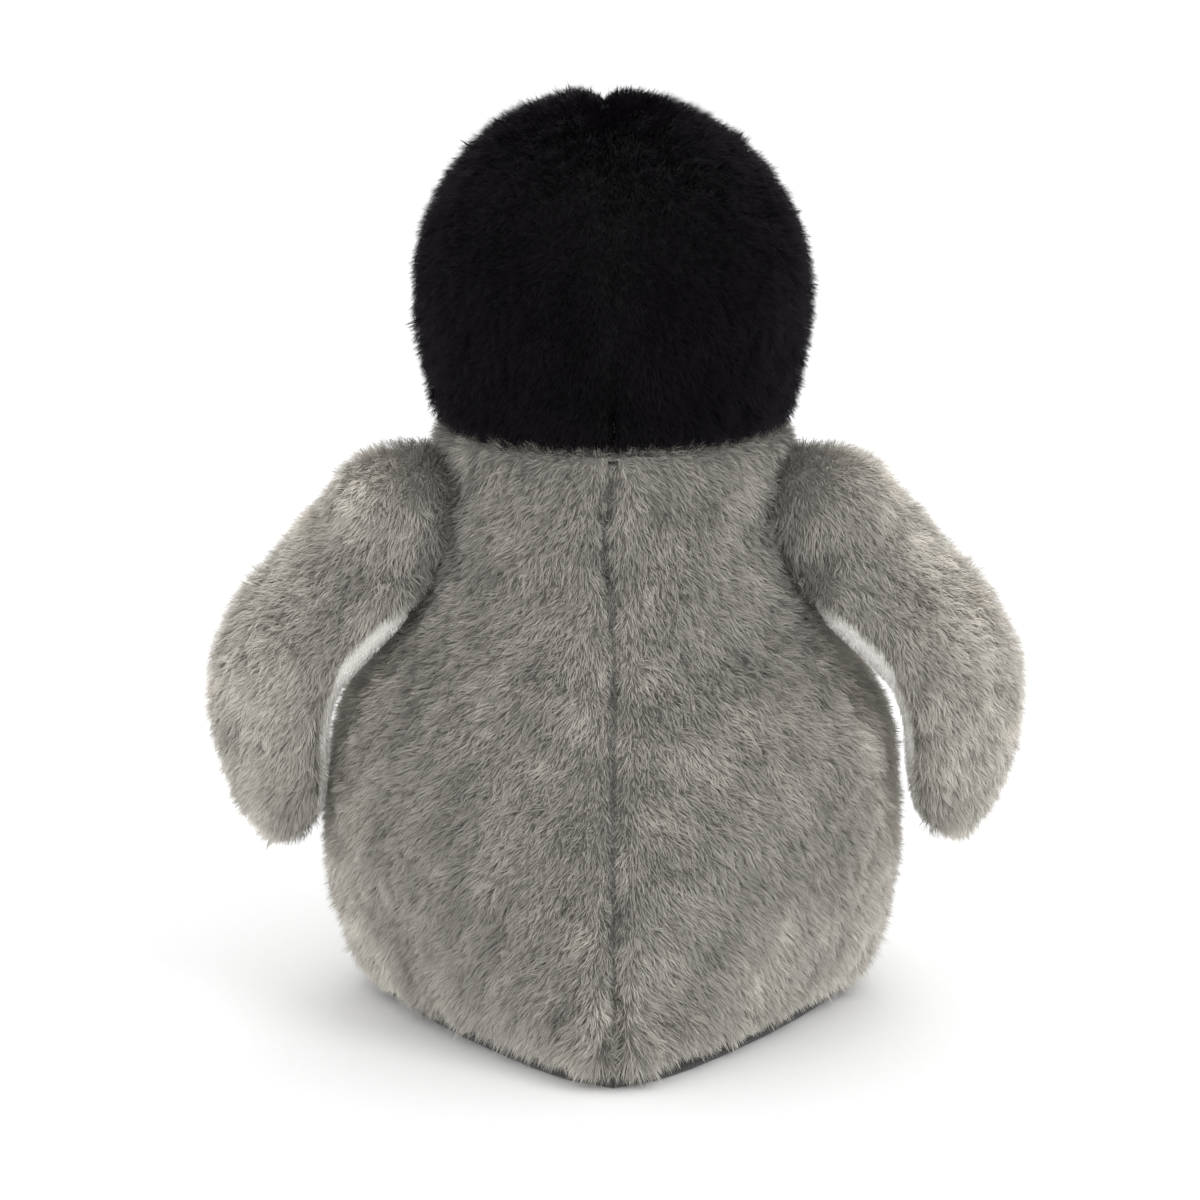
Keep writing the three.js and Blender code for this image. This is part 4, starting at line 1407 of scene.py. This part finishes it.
class PENGUIN_OT_face(bpy.types.Operator):
    """Safety eyes with their washers, and a felt beak"""

    bl_idname = "penguin.face"
    bl_label = "Face"

    def execute(self, context):
        gloss, clear = gloss_material(), clear_material()
        for side in SIDES:
            eye, washer = f"eye_{side}", f"eye_washer_{side}"
            origin, axis = axis_of(washer, eye)
            self.eye(f"safety_eye_{side}", eye, origin, axis, gloss)
            self.washer(f"lock_washer_{side}", washer, origin, axis, clear)
        felt = cloth_material("beak_felt", times(kit(context)[2].charcoal, 0.8), 0.5 * MM)
        for node in ("beak_upper", "beak_lower"):
            piece = cad_copy(f"{node}_felt", node, 0.45 * MM, 0.0, 0.06 * MM, 5 * MM, seed=5)
            self.root(piece)
            dress(piece, felt, "head", node)
        return {"FINISHED"}

    def root(self, piece):
        """Draws the back of a beak half into the face, and closes the line between the halves."""
        places = points_of(piece.data)
        back, middle = places[:, 1].max(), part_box("beak_upper")[0].z - 0.2 * MM
        share = np.clip((places[:, 1] - back + 7 * MM) / (7 * MM), 0, 1)
        places[:, 1] += ROOT_DEPTH * share**2
        places[:, 2] += (middle - places[:, 2]) * np.exp(-np.abs(places[:, 2] - middle) / MM) * 0.5
        put_points(piece.data, places)

    def eye(self, name, node, origin, axis, material):
        """A low dome on a ribbed shank."""
        low, high, radius = reach_along(node, origin, axis)
        high -= EYE_SUNK
        rise, stem = radius * 0.78, radius * 0.28
        base = high - rise
        select_only()
        bpy.ops.mesh.primitive_uv_sphere_add(segments=64, ring_count=32, radius=radius)
        piece = bpy.context.active_object
        piece.name = name

        def cut():
            bpy.ops.mesh.select_all(action="SELECT")
            bpy.ops.mesh.bisect(
                plane_co=(0, 0, 0.02 * radius), plane_no=(0, 0, 1), use_fill=True, clear_inner=True
            )

        def squash():
            bpy.ops.mesh.select_all(action="SELECT")
            bpy.ops.transform.resize(value=(1, 1, rise / radius))

        edit(piece, cut, squash)
        bottom = min(v.co.z for v in piece.data.vertices)
        select_faces(piece, lambda face: face.normal.z < -0.9)

        def shank():
            bpy.ops.mesh.inset(thickness=radius * 0.12, depth=0)
            bpy.ops.mesh.inset(thickness=radius * 0.88 - stem, depth=-0.3 * MM)
            ribs = 4
            step = (base - low - 0.3 * MM) / ribs
            for size in (0.86, 1 / 0.86) * ribs:
                bpy.ops.mesh.extrude_region_move(
                    TRANSFORM_OT_translate={"value": (0, 0, -step * 0.5)}
                )
                bpy.ops.transform.resize(value=(size, size, 1))

        edit(piece, shank)
        finished(piece, 0.12 * MM, 50)
        settle(piece, along_axis(origin, axis) @ Matrix.Translation((0, 0, base - bottom)))
        dress(piece, material, "head", node)

    def washer(self, name, node, origin, axis, material):
        """A dished lock washer with a raised hub."""
        low, high, radius = reach_along(node, origin, axis)
        select_only()
        bpy.ops.mesh.primitive_cylinder_add(
            vertices=48, radius=radius, depth=high - low, end_fill_type="NGON"
        )
        piece = bpy.context.active_object
        piece.name = name
        select_faces(piece, lambda face: abs(face.normal.z) > 0.9)

        def dish():
            for share, drop in ((0.14, 0), (0.06, -0.22), (0.3, 0), (0.05, 0.2), (0.14, 0)):
                bpy.ops.mesh.inset(thickness=radius * share, depth=(high - low) * drop)
            bpy.ops.mesh.bridge_edge_loops()

        edit(piece, dish)
        finished(piece, 0.1 * MM, 40)
        settle(piece, along_axis(origin, axis) @ Matrix.Translation((0, 0, (low + high) / 2)))
        dress(piece, material, "head", node)


class PENGUIN_OT_filling(bpy.types.Operator):
    """Fibre filling, the pellet pouch and the closing thread"""

    bl_idname = "penguin.filling"
    bl_label = "Filling"

    def execute(self, context):
        fibre = fill_material()
        fillings = [
            ("body_stuffing", "torso", 3.0 * MM, 1.2 * MM),
            ("head_stuffing", "head", 2.5 * MM, 1.2 * MM),
            ("beak_stuffing", "head", 0.6 * MM, 0.1 * MM),
        ]
        for stem, voxel, depth in (("flipper", 1.8 * MM, 0.4 * MM), ("foot", 0.8 * MM, 0.7 * MM)):
            for side in SIDES:
                fillings.append((f"{stem}_stuffing_{side}", f"{stem}_{side}", voxel, depth))
        for node, body, voxel, depth in fillings:
            piece = cad_copy(f"{node}_fibre", node, voxel, depth, depth, 5 * voxel, seed=11)
            dress(piece, fibre, body, node)
        canvas = cloth_material("pouch_canvas", (0.4, 0.37, 0.3), 0.7 * MM)
        pouch = cad_copy("pellet_bag", "pellet_pouch", 1.3 * MM, 0, 0.5 * MM, 4 * MM, seed=12)
        dress(pouch, canvas, "torso", "pellet_pouch")
        self.thread(context)
        return {"FINISHED"}

    def thread(self, context):
        """Ladder stitches that close the back seam, following the cloth."""
        low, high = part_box("closing_thread")
        back = bpy.data.objects["back_left"]
        tree = BVHTree.FromObject(back, context.evaluated_depsgraph_get())
        path = []
        for k, level in enumerate(np.linspace(low.z, high.z, 7)):
            for x in ((-0.8, 0.8) if k % 2 else (0.8, -0.8)):
                place = Vector((x * MM + 1.6 * MM, high.y, level))
                hit = tree.find_nearest(place)[0]
                path.append(Vector((x * MM + 1.2 * MM, hit.y - 0.1 * MM, level)))
        curve = bpy.data.curves.new("ladder_stitches", "CURVE")
        curve.dimensions = "3D"
        curve.bevel_depth = 0.3 * MM
        curve.bevel_resolution = 3
        curve.use_fill_caps = True
        spline = curve.splines.new("POLY")
        spline.points.add(len(path) - 1)
        for point, place in zip(spline.points, path, strict=True):
            point.co = (*place, 1)
        strand = new_object("ladder_stitches", curve)
        select_only(strand)
        bpy.ops.object.convert(target="MESH")
        material = thread_material("closing_ply", times(kit(context)[2].grey, 0.3))
        dress(context.active_object, material, "torso", "closing_thread")


GROUPS = {
    "penguin_cloth": PenguinCloth,
    "penguin_pile": PenguinPile,
    "penguin_handwork": PenguinHandwork,
    "penguin_colours": PenguinColours,
    "penguin_stage": PenguinStage,
}
OPERATORS = [
    PENGUIN_OT_stage,
    PENGUIN_OT_body,
    PENGUIN_OT_base,
    PENGUIN_OT_head,
    PENGUIN_OT_flippers,
    PENGUIN_OT_feet,
    PENGUIN_OT_face,
    PENGUIN_OT_filling,
]


class PENGUIN_PT_panel(bpy.types.Panel):
    """Lists the steps in their order"""

    bl_idname = "PENGUIN_PT_panel"
    bl_label = "Plush penguin"
    bl_space_type = "VIEW_3D"
    bl_region_type = "UI"
    bl_category = "Penguin"

    def draw(self, context):
        for step in OPERATORS:
            self.layout.operator(step.bl_idname)


CLASSES = [*GROUPS.values(), *OPERATORS, PENGUIN_PT_panel]


def register():
    for kind in CLASSES:
        bpy.utils.register_class(kind)
    for name, group in GROUPS.items():
        setattr(bpy.types.Scene, name, PointerProperty(type=group))


def unregister():
    for name in GROUPS:
        delattr(bpy.types.Scene, name)
    for kind in reversed(CLASSES):
        bpy.utils.unregister_class(kind)


def main():
    register()
    for step in OPERATORS:
        getattr(bpy.ops.penguin, step.bl_idname.removeprefix("penguin."))()


if __name__ == "__main__":
    main()
